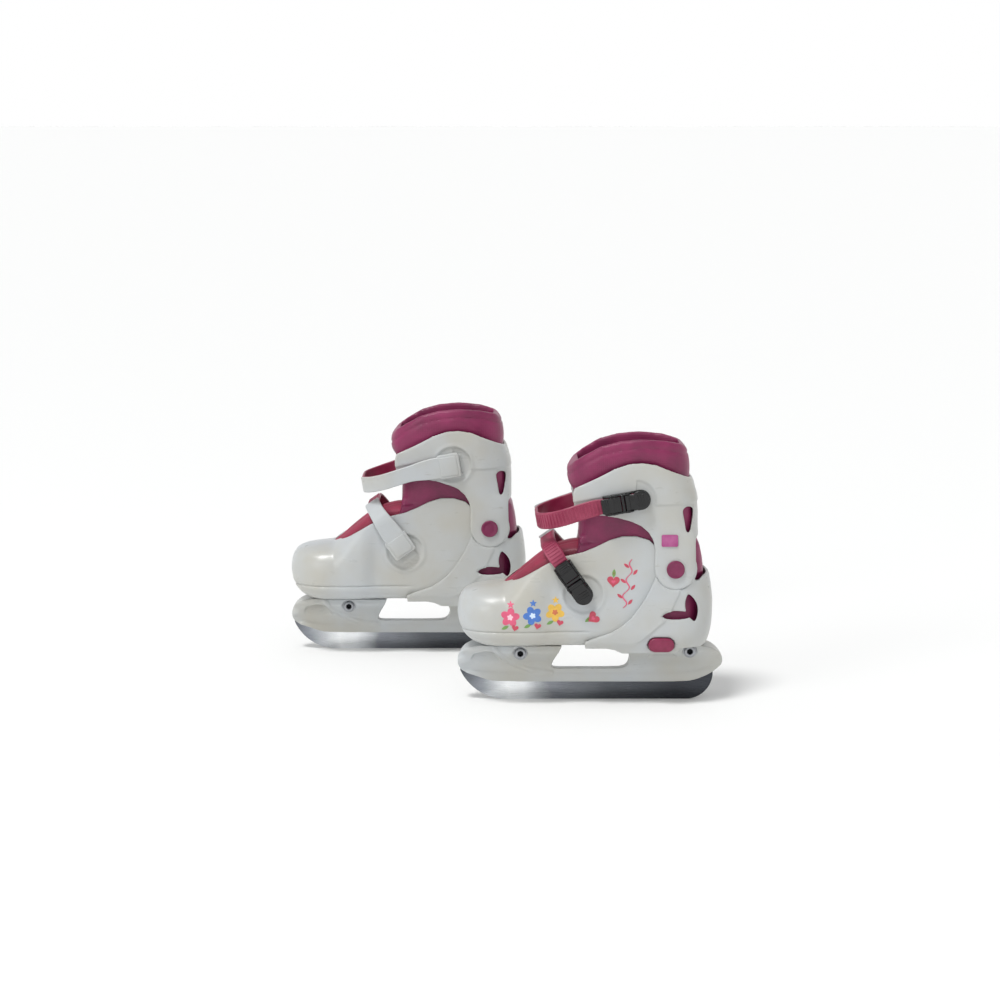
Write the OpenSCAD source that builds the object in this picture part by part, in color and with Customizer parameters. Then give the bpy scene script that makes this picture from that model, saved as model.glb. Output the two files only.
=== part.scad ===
// A pair of children's hard-shell ice skates with a size-adjustable toe.
// Frame: +Z up, toes towards -X, blades on z = 0, millimetres.
// Each skate is drawn once, as the left one, with its outer side towards -Y.
// The right skate is its mirror image.

/* [Pair] */
// Distance between the two blades
stance = 250; // [180:5:400]
// How far the right skate stands ahead of the left one
stagger = 170; // [0:5:300]

/* [Blade and holder] */
// Length of the blade holder, tip to tip
holder_len = 241; // [210:1:290]
// Height of the boot's sole above the ice
sole_z = 54; // [46:1:66]
// Height of the steel that shows below the holder
blade_show = 17; // [13:0.5:20]
// Depth of the blade inside the holder's groove
blade_sunk = 7; // [4:0.5:9]
// Thickness of the blade
blade_t = 3; // [2:0.1:4]
// Radius of the blade's front curve
front_curve_r = 46; // [35:1:60]
// Radius of the blade's rear curve
rear_curve_r = 25; // [18:1:32]
// Half width of the holder beside the blade
rim_half_w = 5; // [4:0.5:7]
// Half width of the holder under the sole
deck_half_w = 22; // [18:0.5:26]
// Radius of the two mounting bolts
bolt_r = 3; // [2:0.1:4]
// Radius of the bolt heads and nuts
bolt_head_r = 5.5; // [5:0.1:7]
// Thickness of the bolt heads and nuts
bolt_head_t = 4; // [3:0.5:5]
// Half width of the lugs that the bolts pass through
lug_half_w = 4; // [3:0.5:5]

/* [Boot] */
// Reach of the toe cap ahead of the blade's middle
toe_reach = 123; // [115:1:135]
// Reach of the heel behind the blade's middle
heel_reach = 112; // [108:1:125]
// Half width of the liner beside the ankle
liner_half_w = 35; // [31:0.5:42]
// How much wider the toe cap is on each side
toe_flare = 5.5; // [3:0.5:9]
// Wall of the moulded shells
wall = 3; // [2.4:0.1:3.6]
// Gap between shells that slide or turn on each other
slide_gap = 0.3; // [0.2:0.05:0.5]
// Wall of the padded liner around the foot
liner_t = 5; // [3:0.5:7]
// Wall of the padded collar around the ankle
collar_t = 8; // [6:0.5:10]
// Thickness of the insole
insole_t = 3; // [2:0.5:4]
// How far the toe slides out to fit a larger foot
size_travel = 20; // [10:1:22]

/* [Cuff] */
// Ankle pivot, behind the blade's middle
pivot_x = 76; // [70:1:80]
// Ankle pivot, above the sole
pivot_h = 74; // [68:1:80]
// Radius of the cuff's round lower end
lug_r = 19; // [16:0.5:21]
// Radius of the pivot rivet
rivet_r = 4; // [3:0.5:6]
// Radius of the pivot cap
cap_r = 8.25; // [7:0.25:10]

/* [Straps and buckles] */
// Width of the toothed straps
strap_w = 13.6; // [11:0.2:16]
// Thickness of the toothed straps
strap_t = 2.3; // [1.8:0.1:3]
// Length of each buckle
buckle_len = 46; // [40:1:54]
// Thickness of the buckle's floor
buckle_floor = 2; // [1.5:0.1:3]
// Side wall of the buckle
buckle_wall = 1.8; // [1.4:0.1:2.4]
// Height of the buckle's hinge pins above its mounting face
pin_h = 7; // [6.5:0.1:8]
// Radius of the buckle's hinge pins
pin_r = 1; // [0.8:0.05:1.3]

/* [Hidden] */
$fn = 64;
SIDES = ["left", "right"];
PIECES = [
    "heel_shell", "blade_holder", "blade", "mount_bolts", "mount_nuts",
    "pivot_rivets", "pivot_caps", "liner_boot", "insole", "tongue",
    "toe_shell", "lower_buckle_base", "lower_buckle_pins", "lower_strap",
    "lower_strap_cover", "lower_rivets",
    "cuff", "liner_collar", "upper_buckle_base", "upper_buckle_pins",
    "upper_strap", "upper_strap_cover", "upper_rivets", "label_plate",
    "size_button", "upper_lever", "upper_tab", "lower_lever", "lower_tab"
];

// Colours of the moulded parts, the padding, the straps and the metal
shell_white = "#D8DCDC";
liner_pink = "#8C2D5E";
strap_pink = "#B8344F";
label_pink = "#C04A95";
foam_grey = "#5A5A60";
cap_pink = "#8F2A5B";
buckle_black = "#1C1D20";
steel = "#9A9DA2";

half_len = holder_len / 2;
big = 400;                                   // longer than any piece, for cuts
run_gap = 0.05;                              // radial clearance of a pin that turns
inner_face = liner_half_w + 0.5;             // inside of the toe shell
mid_face = inner_face + wall;                // outside of the toe shell, face of the heel lugs
outer_in = mid_face + slide_gap;             // inside of the heel band and the cuff
outer_face = outer_in + wall;                // outside of the heel shell and the cuff
skate_mid = (half_len - max(toe_reach, half_len)) / 2;

bolt_z = sole_z - 8;                         // front bolt, under the toe
rear_bolt_z = sole_z - 6;                    // rear bolt, under the heel
front_bolt_x = -(half_len - 55.5);
rear_bolt_x = half_len - 29.5;
seat_half_w = deck_half_w - 5;               // face that the bolt heads sit on
deck_z = sole_z - slide_gap;                 // top of the holder

window_x = 23;                               // centre of the holder window's round end
button_x = 63.5;                             // middle of the size button
button_h = 4;                                // its height above the sole
button_r = 6.5;                              // its round ends
button_half = 5.5;                           // from its middle to the centre of a round end

buckle_half_w = strap_w / 2 + 0.4 + buckle_wall;
tail_u = buckle_len / 2 - buckle_half_w;     // centre of the buckle's round end
tab_pin_u = -12;
lever_pin_u = 2;
strap_gap = 0.05;
strap_w0 = buckle_floor + strap_gap;         // height of the strap above the mounting face
rivet_head_h = 1.6;                          // domed head of a buckle's rivet
rivet_shank_r = 2;                           // its shank
button_room = 0.2;                           // gap round the size button

// Buckle places: [x, height above the sole, slope in degrees]
upper_at = [30, 136, 10];
lower_at = [-16, 62, -55];
// Loops of the straps: [reach ahead of the buckle, corner radius, end of the inner leg]
upper_loop = [80, 30, 4];
lower_loop = [40.5, 20, 4];

// Points on an arc about (cx, cy) from angle a0 to a1
function arc(cx, cy, r, a0, a1, n = 6) =
    [for (i = [0:n]) let (a = a0 + (a1 - a0) * i / n) [cx + r * cos(a), cy + r * sin(a)]];

// ---------- general shapes ----------

// Extrudes an outline drawn in (x, height) across the skate, from y0 to y1
module across(y0, y1) {
    translate([0, y1, 0]) rotate([90, 0, 0]) linear_extrude(y1 - y0) children();
}

// A rod along Y at (x, z), from y0 to y1
module rod(x, z, r, y0, y1) {
    translate([x, y1, z]) rotate([90, 0, 0]) cylinder(r = r, h = y1 - y0);
}

// A straight-sided plan, round at the back with corners of radius r
module back_plan(x0, x1, half_w, r) {
    translate([x0, -half_w]) square([x1 - r - x0, 2 * half_w]);
    translate([x0, -half_w + r]) square([x1 - x0, 2 * (half_w - r)]);
    for (s = [-1, 1]) translate([x1 - r, s * (half_w - r)]) circle(r);
}

// The toe's plan: a half round toe, wide at the ball of the foot, then straight to x1
module toe_plan(tip, wide, narrow, ball_x, x1) {
    translate([tip + wide, 0]) circle(wide);
    polygon([
        [tip + wide, -wide], [ball_x, -wide], [ball_x + 14, -narrow], [x1, -narrow],
        [x1, narrow], [ball_x + 14, narrow], [ball_x, wide], [tip + wide, wide]
    ]);
}

// A stadium along x: round ends of radius r, their centres at x0 and x1
module stadium(x0, x1, r) {
    for (x = [x0, x1]) translate([x, 0]) circle(r);
    translate([x0, -r]) square([x1 - x0, 2 * r]);
}

// Puts a piece on the outer side, its u axis at slope a and its w axis outwards
module on_outside(at, face) {
    translate([at[0], -face, at[1]]) rotate([0, -at[2], 0]) rotate([90, 0, 0]) children();
}

// The same place on the inner side
module on_inside(at, face) {
    mirror([0, 1, 0]) on_outside(at, face) children();
}

// Everything above the sole is drawn from the sole upwards
module boot() {
    translate([0, 0, sole_z]) children();
}

// Stands a skate in its place in the pair
module place(side) {
    if (side == "left") translate([stagger / 2 - skate_mid, -stance / 2, 0]) children();
    if (side == "right") translate([-stagger / 2 - skate_mid, stance / 2, 0]) mirror([0, 1, 0]) children();
}

// ---------- blade and holder ----------

blade_front_x = -half_len + 42;              // where the flat of the blade begins
blade_rear_x = half_len - 32;                // where it ends

module blade_profile() {
    difference() {
        polygon(concat(
            arc(blade_front_x, front_curve_r, front_curve_r, 204, 270, 12),
            arc(blade_rear_x, rear_curve_r, rear_curve_r, 270, 360, 10),
            [[blade_rear_x + rear_curve_r, blade_show + blade_sunk + 6],
             [-half_len + 5, blade_show + blade_sunk + 10]]));
        translate([-half_len + 26, blade_show + blade_sunk]) square([holder_len - 46, big]);
    }
}

module blade() {
    color(steel) across(-blade_t / 2, blade_t / 2) blade_profile();
}

module holder_profile() {
    rear_low = blade_show + 14;
    front_low = blade_show + 11;
    difference() {
        polygon([
            [-half_len + 4, front_low], [-half_len + 0.5, front_low + 5],
            [-half_len, deck_z - 16], [-half_len + 2, deck_z - 10], [-half_len + 9, deck_z - 3],
            [-half_len + 18, deck_z],
            [half_len - 15, deck_z], [half_len - 6, deck_z - 5], [half_len - 1, deck_z - 11],
            [half_len, deck_z - 16], [half_len - 3, rear_low],
            [half_len - 15, rear_low - 8], [half_len - 29, blade_show],
            [-half_len + 28, blade_show], [-half_len + 14, blade_show + 5]
        ]);
        window_profile();
    }
}

// The window between the front and rear pedestals, closed above by the sole
module window_profile() {
    low = blade_show + 12.5;
    high = sole_z + 1;
    right_r = (sole_z - low) / 2;
    translate([window_x, low + right_r]) circle(right_r);
    polygon([[-23, high], [-34, low + 3], [-31, low], [window_x, low], [window_x, high]]);
    translate([0, low + right_r]) square([window_x + right_r, high - low - right_r]);
}

module holder_section() {
    flare_z = blade_show + 12;
    top_z = sole_z - 6;
    polygon([
        [-rim_half_w, 0], [rim_half_w, 0], [rim_half_w + 0.8, flare_z], [deck_half_w, top_z],
        [deck_half_w, sole_z], [-deck_half_w, sole_z], [-deck_half_w, top_z],
        [-rim_half_w - 0.8, flare_z]
    ]);
}

module holder_plan() {
    back_plan(0, half_len, deck_half_w, deck_half_w - 3);
    mirror([1, 0]) back_plan(-1, half_len, deck_half_w, deck_half_w - 3);
}

module blade_holder() {
    slot_x0 = front_bolt_x - 20 - size_travel;
    color(shell_white) difference() {
        intersection() {
            across(-deck_half_w, deck_half_w) holder_profile();
            translate([-half_len, 0, 0]) rotate([90, 0, 90]) linear_extrude(holder_len) holder_section();
            linear_extrude(sole_z) holder_plan();
        }
        // groove for the blade
        across(-blade_t / 2, blade_t / 2) blade_profile();
        // grooves for the lugs of the toe shell and the heel shell
        translate([slot_x0 - 1, -lug_half_w - slide_gap, bolt_z - 8])
            cube([size_travel + 48, 2 * (lug_half_w + slide_gap), big]);
        translate([rear_bolt_x - 11, -lug_half_w, rear_bolt_z - 8]) cube([22, 2 * lug_half_w, big]);
        // bolt holes, with flat seats for the heads and the nuts
        for (b = [[front_bolt_x, bolt_z], [rear_bolt_x, rear_bolt_z]]) {
            rod(b[0], b[1], bolt_r, -big, big);
            rod(b[0], b[1], bolt_head_r + 1, seat_half_w, big);
            rod(b[0], b[1], bolt_head_r + 1, -big, -seat_half_w);
        }
    }
}

module mount_bolts() {
    color(steel) for (b = [[front_bolt_x, bolt_z], [rear_bolt_x, rear_bolt_z]]) {
        difference() {
            union() {
                rod(b[0], b[1], bolt_r, -seat_half_w - 1, seat_half_w + bolt_head_t + 1);
                rod(b[0], b[1], bolt_head_r, -seat_half_w - bolt_head_t, -seat_half_w);
            }
            // hexagon socket
            translate([b[0], -seat_half_w - bolt_head_t + 2.5, b[1]])
                rotate([90, 0, 0]) cylinder(r = bolt_head_r / 2, h = 5, $fn = 6);
        }
    }
}

module mount_nuts() {
    color(steel) for (b = [[front_bolt_x, bolt_z], [rear_bolt_x, rear_bolt_z]]) {
        difference() {
            translate([b[0], seat_half_w + bolt_head_t, b[1]])
                rotate([90, 0, 0]) cylinder(r = bolt_head_r, h = bolt_head_t, $fn = 6);
            rod(b[0], b[1], bolt_r, 0, big);
        }
    }
}

// ---------- toe shell ----------

cap_edge = [-toe_reach + 44, 56];            // rear edge of the closed toe cap
ankle_front = [-8, 89];                      // where the side wall reaches the ankle
ball_x = -toe_reach + 73;                    // where the toe starts to narrow
toe_back_x = pivot_x - 13.4;                 // rear edge of the side walls
toe_sole_x = 14.7;                           // rear edge of the toe's sole

function mix(a, b, t) = a + (b - a) * t;

module toe_profile() {
    polygon([
        [toe_sole_x, 0], [-toe_reach + 25, 0], [-toe_reach + 11, 8], [-toe_reach + 3, 18],
        [-toe_reach, 29], [-toe_reach + 0.5, 38], [-toe_reach + 4, 47], [-toe_reach + 12, 52],
        [-toe_reach + 21, 54], cap_edge,
        mix(cap_edge, ankle_front, 0.27) + [0, 2], mix(cap_edge, ankle_front, 0.52) + [0, 5],
        mix(cap_edge, ankle_front, 0.82) + [0, 3.5], ankle_front,
        [15, 100], [31, 105], [45, 103.5], [54, 100], [toe_back_x - 3, 94], [toe_back_x, 86],
        [toe_back_x, 58], [toe_back_x - 7, 36], [button_x - 14.5, 16],
        [button_x - 14.5, wall + slide_gap], [toe_sole_x, wall + slide_gap]
    ]);
}

// The space inside the toe shell, open upwards behind the cap
module toe_hollow_profile() {
    top = 200;
    polygon([
        [big, wall], [-toe_reach + 25 + 1, wall], [-toe_reach + 13, 10], [-toe_reach + 3 + wall, 19],
        [-toe_reach + wall, 29], [-toe_reach + 0.5 + wall, 37], [-toe_reach + 6.5, 44.8],
        [-toe_reach + 13, 49], [-toe_reach + 21, 51], [cap_edge[0], 53], [cap_edge[0], top],
        [big, top]
    ]);
}

module toe_shell() {
    slot_x0 = front_bolt_x;
    slot_x1 = front_bolt_x + size_travel;
    color(shell_white) {
        boot() difference() {
            intersection() {
                across(-big / 2, big / 2) toe_profile();
                linear_extrude(big) toe_plan(-toe_reach, mid_face + toe_flare, mid_face, ball_x, 80);
            }
            intersection() {
                across(-big / 2, big / 2) toe_hollow_profile();
                linear_extrude(big)
                    toe_plan(-toe_reach + wall, inner_face + toe_flare, inner_face, ball_x, 81);
            }
            // hole for the rivet of the lower buckle
            on_outside(lower_at, 0) translate([tail_u, 0, 0]) cylinder(r = rivet_shank_r, h = big);
        }
        // lug under the sole, slotted for the front bolt
        difference() {
            translate([slot_x0 - 20, -lug_half_w, bolt_z - 7.5])
                cube([size_travel + 26, 2 * lug_half_w, sole_z + 1 - bolt_z + 7.5]);
            translate([0, 0, bolt_z]) across(-big / 2, big / 2)
                stadium(slot_x0, slot_x1, bolt_r + run_gap);
        }
    }
}

// ---------- heel shell ----------

heel_corner = 32;                            // plan corner of the heel

module heel_profile() {
    difference() {
        polygon([
            [-4, 0], [-4, 6], [6, 11], [18, 15], [28, 21.5], [37, 31], [45, 42], [52, 53],
            [57, 62], [59.5, 70], [pivot_x - lug_r + 2, pivot_h], [pivot_x, pivot_h],
            [pivot_x + lug_r - 3, pivot_h - 14], [95, 64], [100, 69], [heel_reach - 5, 70],
            [heel_reach - 2, 58], [heel_reach, 40], [heel_reach - 1, 21], [heel_reach - 5, 6],
            [heel_reach - 8, 0], [80, 0], [76, -5], [26, -5], [18, 0]
        ]);
        // room for the round lower end of the cuff
        translate([pivot_x, pivot_h]) circle(lug_r + slide_gap);
        // lens-shaped hole beside the heel, and the slot under it
        translate([91, 38]) rotate(14) intersection() {
            translate([13.8, 0]) circle(19.3);
            translate([-13.8, 0]) circle(19.3);
        }
        polygon([[63, 28], [91, 28], [86, 35], [68, 35]]);
    }
}

module heel_hollow_plan(x0) {
    back_plan(x0, heel_reach - wall, outer_in, heel_corner - wall);
}

module heel_shell() {
    color(shell_white) {
        boot() {
            difference() {
                union() {
                    // outer wall
                    difference() {
                        intersection() {
                            across(-outer_face, outer_face) heel_profile();
                            translate([0, 0, -10]) linear_extrude(big)
                                back_plan(-4, heel_reach, outer_face, heel_corner);
                        }
                        translate([0, 0, -20]) linear_extrude(big) heel_hollow_plan(-10);
                    }
                    // sole
                    linear_extrude(wall) intersection() {
                        back_plan(toe_sole_x + 0.3, heel_reach, outer_face, heel_corner);
                        translate([0, -outer_face + 0.5])
                            square([heel_reach - 9, 2 * (outer_face - 0.5)]);
                    }
                    // guide that runs inside the toe shell
                    translate([-45, -inner_face + 6, wall + slide_gap])
                        cube([toe_sole_x + 47, 2 * (inner_face - 6), 2.3]);
                    translate([toe_sole_x + 0.3, -inner_face + 6, 1])
                        cube([2, 2 * (inner_face - 6), wall + 1]);
                    // ankle lugs that the cuff turns on, inside its arms
                    for (s = [-1, 1]) intersection() {
                        across(s * mid_face - (s > 0 ? wall : 0), s * mid_face + (s > 0 ? 0 : wall))
                            ankle_lug_profile();
                        translate([toe_back_x + 0.4, -big / 2, 0]) cube([big, big, big]);
                    }
                    for (s = [-1, 1]) intersection() {
                        across(s > 0 ? mid_face - 1 : -outer_in - 0.5, s > 0 ? outer_in + 0.5 : -mid_face + 1)
                            lug_bridge_profile();
                        linear_extrude(big) back_plan(-4, heel_reach, outer_face, heel_corner);
                    }
                }
                // bore for the pivot rivets
                rod(pivot_x, pivot_h, rivet_r, -big, big);
                // opening for the size button and the room behind it
                translate([button_x, 0, button_h]) {
                    across(-big, -outer_in + 1) stadium(-button_half, button_half, button_r + button_room);
                    translate([-button_half - button_r - 2.2, -outer_in - 0.01, -button_r - 3])
                        cube([2 * (button_half + button_r) + 4.4, 8, 2 * button_r + 5]);
                }
            }
        }
        // lug under the heel for the rear bolt
        difference() {
            translate([rear_bolt_x - 11, -lug_half_w, rear_bolt_z - 8])
                cube([22, 2 * lug_half_w, sole_z + 1 - rear_bolt_z + 8]);
            rod(rear_bolt_x, rear_bolt_z, bolt_r, -big, big);
        }
    }
}

module ankle_lug_profile() {
    translate([pivot_x, pivot_h]) circle(lug_r + 1);
    translate([pivot_x - lug_r, pivot_h - 36]) square([2 * lug_r - 6, 36]);
}

module lug_bridge_profile() {
    translate([toe_back_x + 0.4, pivot_h - 36]) square([pivot_x + lug_r - 6 - toe_back_x, 14]);
}

module pivot_rivets() {
    color(steel) boot() for (s = [-1, 1]) {
        rod(pivot_x, pivot_h, rivet_r, min(s * inner_face, s * (outer_face + 0.2)),
            max(s * inner_face, s * (outer_face + 0.2)));
    }
}

module pivot_caps() {
    cap_t = 2.2;
    color(cap_pink) boot() for (s = [-1, 1]) {
        y0 = outer_face + 0.2;
        rod(pivot_x, pivot_h, cap_r, min(s * y0, s * (y0 + cap_t)), max(s * y0, s * (y0 + cap_t)));
    }
}

module size_button() {
    flange = button_r + 1.5;
    color(strap_pink) boot() translate([button_x, 0, button_h]) {
        across(-outer_face - 1.5, -outer_in + 1) stadium(-button_half, button_half, button_r);
        across(-outer_in + 0.3, -outer_in + 2.3) intersection() {
            stadium(-button_half, button_half, flange);
            square([big, 2 * button_r], center = true);
        }
    }
}

// ---------- liner, insole and tongue ----------

liner_floor = wall + slide_gap + 2.3 + 0.3;  // underside of the liner, above the guide
gap_h = 92;                                  // top of the boot liner at the ankle

module liner_boot_profile() {
    polygon([
        [-toe_reach + 25, liner_floor], [-toe_reach + 13, 14], [-toe_reach + 9, 28],
        [-toe_reach + 11, 41], [-toe_reach + 22, 47], [cap_edge[0], 49.5],
        mix(cap_edge, ankle_front, 0.5) - [0, 8], mix(cap_edge, ankle_front, 0.85) - [0, 7],
        [-8, gap_h - 5], [20, gap_h], [heel_reach - 14, gap_h], [heel_reach - 8.5, gap_h - 6],
        [heel_reach - 8.5, 30], [heel_reach - 12, 14], [heel_reach - 17, liner_floor]
    ]);
}

module liner_boot() {
    w = liner_half_w;
    color(liner_pink) boot() difference() {
        intersection() {
            across(-big / 2, big / 2) liner_boot_profile();
            linear_extrude(big) union() {
                toe_plan(-toe_reach + 9, w + 3, w, -70, 30);
                back_plan(20, heel_reach - 8.5, w, heel_corner - 8);
            }
            rotate([90, 0, 90]) translate([0, 0, -big / 2]) linear_extrude(big) polygon([
                [-w + 4, 0], [w - 4, 0], [w - 4, 12], [w + 3, 19], [w + 3, big], [-w - 3, big],
                [-w - 3, 19], [-w + 4, 12]
            ]);
        }
        // the foot's space, open upwards at the ankle
        foot_space();
    }
}

module foot_space() {
    w = liner_half_w - liner_t;
    floor_h = liner_floor + liner_t - 1;
    intersection() {
        union() {
            across(-w, w) polygon([
                [-toe_reach + 22, floor_h], [-toe_reach + 15, 18], [-toe_reach + 14, 30],
                [-toe_reach + 17, 38], [-toe_reach + 24, 42], [cap_edge[0], 44],
                [0, 76], [0, big], [heel_reach - 8.5 - collar_t, big],
                [heel_reach - 8.5 - collar_t, floor_h]
            ]);
        }
        translate([0, 0, -1]) linear_extrude(big) union() {
            toe_plan(-toe_reach + 14, w, w, -70, 30);
            back_plan(20, heel_reach - 8.5 - collar_t, w, heel_corner - 12);
        }
    }
}

module insole() {
    floor_h = liner_floor + liner_t - 1 + 0.1;
    w = liner_half_w - liner_t - 0.5;
    color(foam_grey) boot() translate([0, 0, floor_h]) linear_extrude(insole_t) {
        toe_plan(-toe_reach + 22, w, w, -70, 30);
        back_plan(20, heel_reach - 9 - collar_t, w, heel_corner - 12);
    }
}

module tongue() {
    w = inner_face - 5;
    color(strap_pink) boot() across(-w, w) polygon([
        cap_edge + [1.5, -5], cap_edge + [1.5, 0.5], cap_edge + [9, 7],
        mix(cap_edge, ankle_front, 0.27) + [0, 8], mix(cap_edge, ankle_front, 0.52) + [0, 12],
        mix(cap_edge, ankle_front, 0.82) + [0, 8], ankle_front + [0, 1.5],
        ankle_front + [0, -1.5], mix(cap_edge, ankle_front, 0.85) - [0, 6.5],
        mix(cap_edge, ankle_front, 0.5) - [0, 7.5]
    ]);
}

module liner_collar() {
    front_x = -8;
    back_x = 91;
    w = liner_half_w;
    color(liner_pink) boot() difference() {
        intersection() {
            across(-w, w) polygon([
                [front_x, 112], [front_x, 130], [front_x - 7, 146], [front_x - 13, 165],
                [front_x + 2, 177], [front_x + 16, 187], [30, 191], [45, 192], [66, 190],
                [back_x - 5, 185], [back_x - 3.5, 170], [back_x - 2, 153], [back_x, 126],
                [back_x, 97], [pivot_x, 97], [50, 101], [20, 107]
            ]);
            translate([0, 0, 90]) linear_extrude(big) intersection() {
                back_plan(-30, back_x, w, 17);
                mirror([1, 0]) back_plan(-back_x - 10, 21, w, 24);
            }
        }
        translate([0, 0, 80]) linear_extrude(big) intersection() {
            back_plan(-30, back_x - collar_t, w - collar_t, 12);
            mirror([1, 0]) back_plan(-back_x - 10, 1, w - collar_t, 16);
        }
    }
}

// ---------- cuff ----------

cuff_back = 97.8;                            // back of the cuff
cuff_corner = 22;                            // plan corner of the cuff
arm_top = 102.9;                             // where the arms run into the collar

module cuff_profile() {
    difference() {
        union() {
            polygon([
                [-15, 148], [-16.5, 140], [-15, 127], [-8, 125], [15, 122], [36, 118], [50, 110],
                [57, 98], [pivot_x - lug_r, pivot_h], [pivot_x, pivot_h],
                [pivot_x + lug_r - 0.5, pivot_h], [94, 90], [94.5, 103], [cuff_back, 103],
                [cuff_back, 148], [91, 153], [80, 159], [70, 163], [58, 168.5], [45, 171],
                [33, 170.5], [25, 168], [8, 158]
            ]);
            translate([pivot_x, pivot_h]) circle(lug_r);
        }
        // slot through each side, near the back
        translate([89, 119]) rotate(90) stadium(-7, 7, 3.8);
    }
}

module cuff() {
    color(shell_white) boot() difference() {
        union() {
            intersection() {
                across(-outer_face, outer_face) cuff_profile();
                translate([0, 0, 96]) linear_extrude(big)
                    back_plan(-20, cuff_back, outer_face, cuff_corner);
            }
            // arms down to the pivots
            for (s = [-1, 1]) intersection() {
                across(s > 0 ? outer_in : -outer_face, s > 0 ? outer_face : -outer_in) cuff_profile();
                translate([pivot_x - big / 2, -big / 2, 0]) cube([big, big, arm_top]);
            }
        }
        translate([0, 0, 90]) linear_extrude(big)
            back_plan(-30, cuff_back - wall, outer_in, cuff_corner - wall);
        rod(pivot_x, pivot_h, rivet_r + run_gap, -big, big);
        on_outside(upper_at, 0) translate([tail_u, 0, 0]) cylinder(r = rivet_shank_r, h = big);
    }
}

module label_plate() {
    color(label_pink) boot() translate([70.5, 0, 100.5])
        across(-outer_face - 0.8, -outer_face) translate([-7.5, -5.5]) square([15, 11]);
}

// ---------- straps and buckles ----------
// u runs along a buckle from the strap's mouth to its round end, v across it,
// and w outwards from the face that the buckle is riveted to.

module buckle_base() {
    difference() {
        union() {
            linear_extrude(buckle_floor) {
                translate([-buckle_len / 2 + 3, -buckle_half_w])
                    square([tail_u + buckle_len / 2 - 3, 2 * buckle_half_w]);
                translate([tail_u, 0]) circle(buckle_half_w);
            }
            for (s = [-1, 1])
                translate([-buckle_len / 2 + 3, s * (buckle_half_w - buckle_wall / 2) - buckle_wall / 2, 0])
                    cube([26, buckle_wall, pin_h + 2]);
        }
        for (u = [tab_pin_u, lever_pin_u]) cross_pin(u, pin_r, buckle_half_w + 1);
        translate([tail_u, 0, -1]) cylinder(r = rivet_shank_r, h = 10);
    }
}

module cross_pin(u, r, half) {
    translate([u, half, pin_h]) rotate([90, 0, 0]) cylinder(r = r, h = 2 * half);
}

module buckle_pins() {
    for (u = [tab_pin_u, lever_pin_u]) cross_pin(u, pin_r, buckle_half_w + 0.3);
}

module buckle_lever() {
    w = buckle_half_w - buckle_wall - 0.25;
    r = pin_h - strap_w0 - strap_t - 0.05;
    difference() {
        union() {
            cross_pin(lever_pin_u, r, w);
            translate([lever_pin_u, -w, pin_h - 1.4]) cube([8, 2 * w, 3]);
            translate([0, 0, pin_h - 1.4]) linear_extrude(3) {
                translate([tail_u - 5.6, -buckle_half_w + 0.3]) square([5.6, 2 * buckle_half_w - 0.6]);
                translate([tail_u, 0]) circle(buckle_half_w - 0.3);
            }
        }
        cross_pin(lever_pin_u, pin_r + run_gap, big);
    }
}

module buckle_tab() {
    w = buckle_half_w - buckle_wall - 0.25;
    r = pin_h - strap_w0 - strap_t - 0.1;
    difference() {
        union() {
            cross_pin(tab_pin_u, r, w);
            translate([-buckle_len / 2 + 1, -w, pin_h + 0.4]) cube([buckle_len / 2 - 5, 2 * w, 1.9]);
        }
        cross_pin(tab_pin_u, pin_r + run_gap, big);
    }
}

// The loop of a strap, seen along its width: two legs and a rounded front
module loop_outline(reach, inner, r, back) {
    half = inner;
    for (s = [-1, 1]) translate([-reach + r, s * (half - r)]) circle(r);
    translate([-reach + r, -half]) square([back + reach - r, 2 * half]);
    translate([-reach, -half + r]) square([r, 2 * (half - r)]);
}

// A band of width w that follows the loop from height h0 to h1 over the mounting face.
// The plan is drawn with u and y, so it is turned to stand along the band's width.
module loop_band(at, face, loop, w, h0, h1, outer_end, inner_end) {
    translate([at[0], 0, at[1]]) rotate([0, -at[2], 0]) translate([0, 0, -w / 2]) linear_extrude(w)
        difference() {
            loop_outline(loop[0] + h1 - h0, face + h1, loop[1] + h1 - h0, 40);
            loop_outline(loop[0], face + h0, loop[1], 60);
            translate([outer_end, -big]) square([big, big]);
            translate([inner_end, 0]) square([big, big]);
        }
}

module strap(at, face, loop) {
    color(strap_pink) boot()
        loop_band(at, face, loop, strap_w, strap_w0, strap_w0 + strap_t, tail_u - 5, loop[2]);
}

// The white cover lies over the inner leg and ends in a pad on the shell
module strap_cover(at, face, loop) {
    h0 = strap_w0 + strap_t + strap_gap;
    reach = loop[0] + strap_t + strap_gap;
    pad_len = 11;
    color(shell_white) boot() {
        difference() {
            loop_band(at, face, [reach, loop[1] + strap_t + strap_gap, loop[2]], strap_w + 1,
                h0, h0 + 2.2, -big / 2, loop[2] + pad_len);
            // bare strap from the middle of the front to the buckle
            translate([-big / 2, -big + 22, -big / 2]) cube([big, big, big]);
        }
        on_inside(at, face) translate([loop[2] + 0.2, -strap_w / 2 - 2, 0])
            cube([pad_len - 0.2, strap_w + 4, h0 + 1]);
    }
}

module rivets(at, face) {
    color(steel) boot() {
        on_outside(at, face) translate([tail_u, 0, -wall]) {
            cylinder(r = rivet_shank_r, h = wall + buckle_floor);
            translate([0, 0, wall + buckle_floor])
                cylinder(r = rivet_shank_r + 1.5, h = rivet_head_h);
        }
    }
}

module upper_strap() { strap(upper_at, outer_face, upper_loop); }
module lower_strap() { strap(lower_at, mid_face, lower_loop); }
module upper_strap_cover() { strap_cover(upper_at, outer_face, upper_loop); }
module lower_strap_cover() { strap_cover(lower_at, mid_face, lower_loop); }
module upper_rivets() { rivets(upper_at, outer_face); }
module lower_rivets() { rivets(lower_at, mid_face); }

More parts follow.
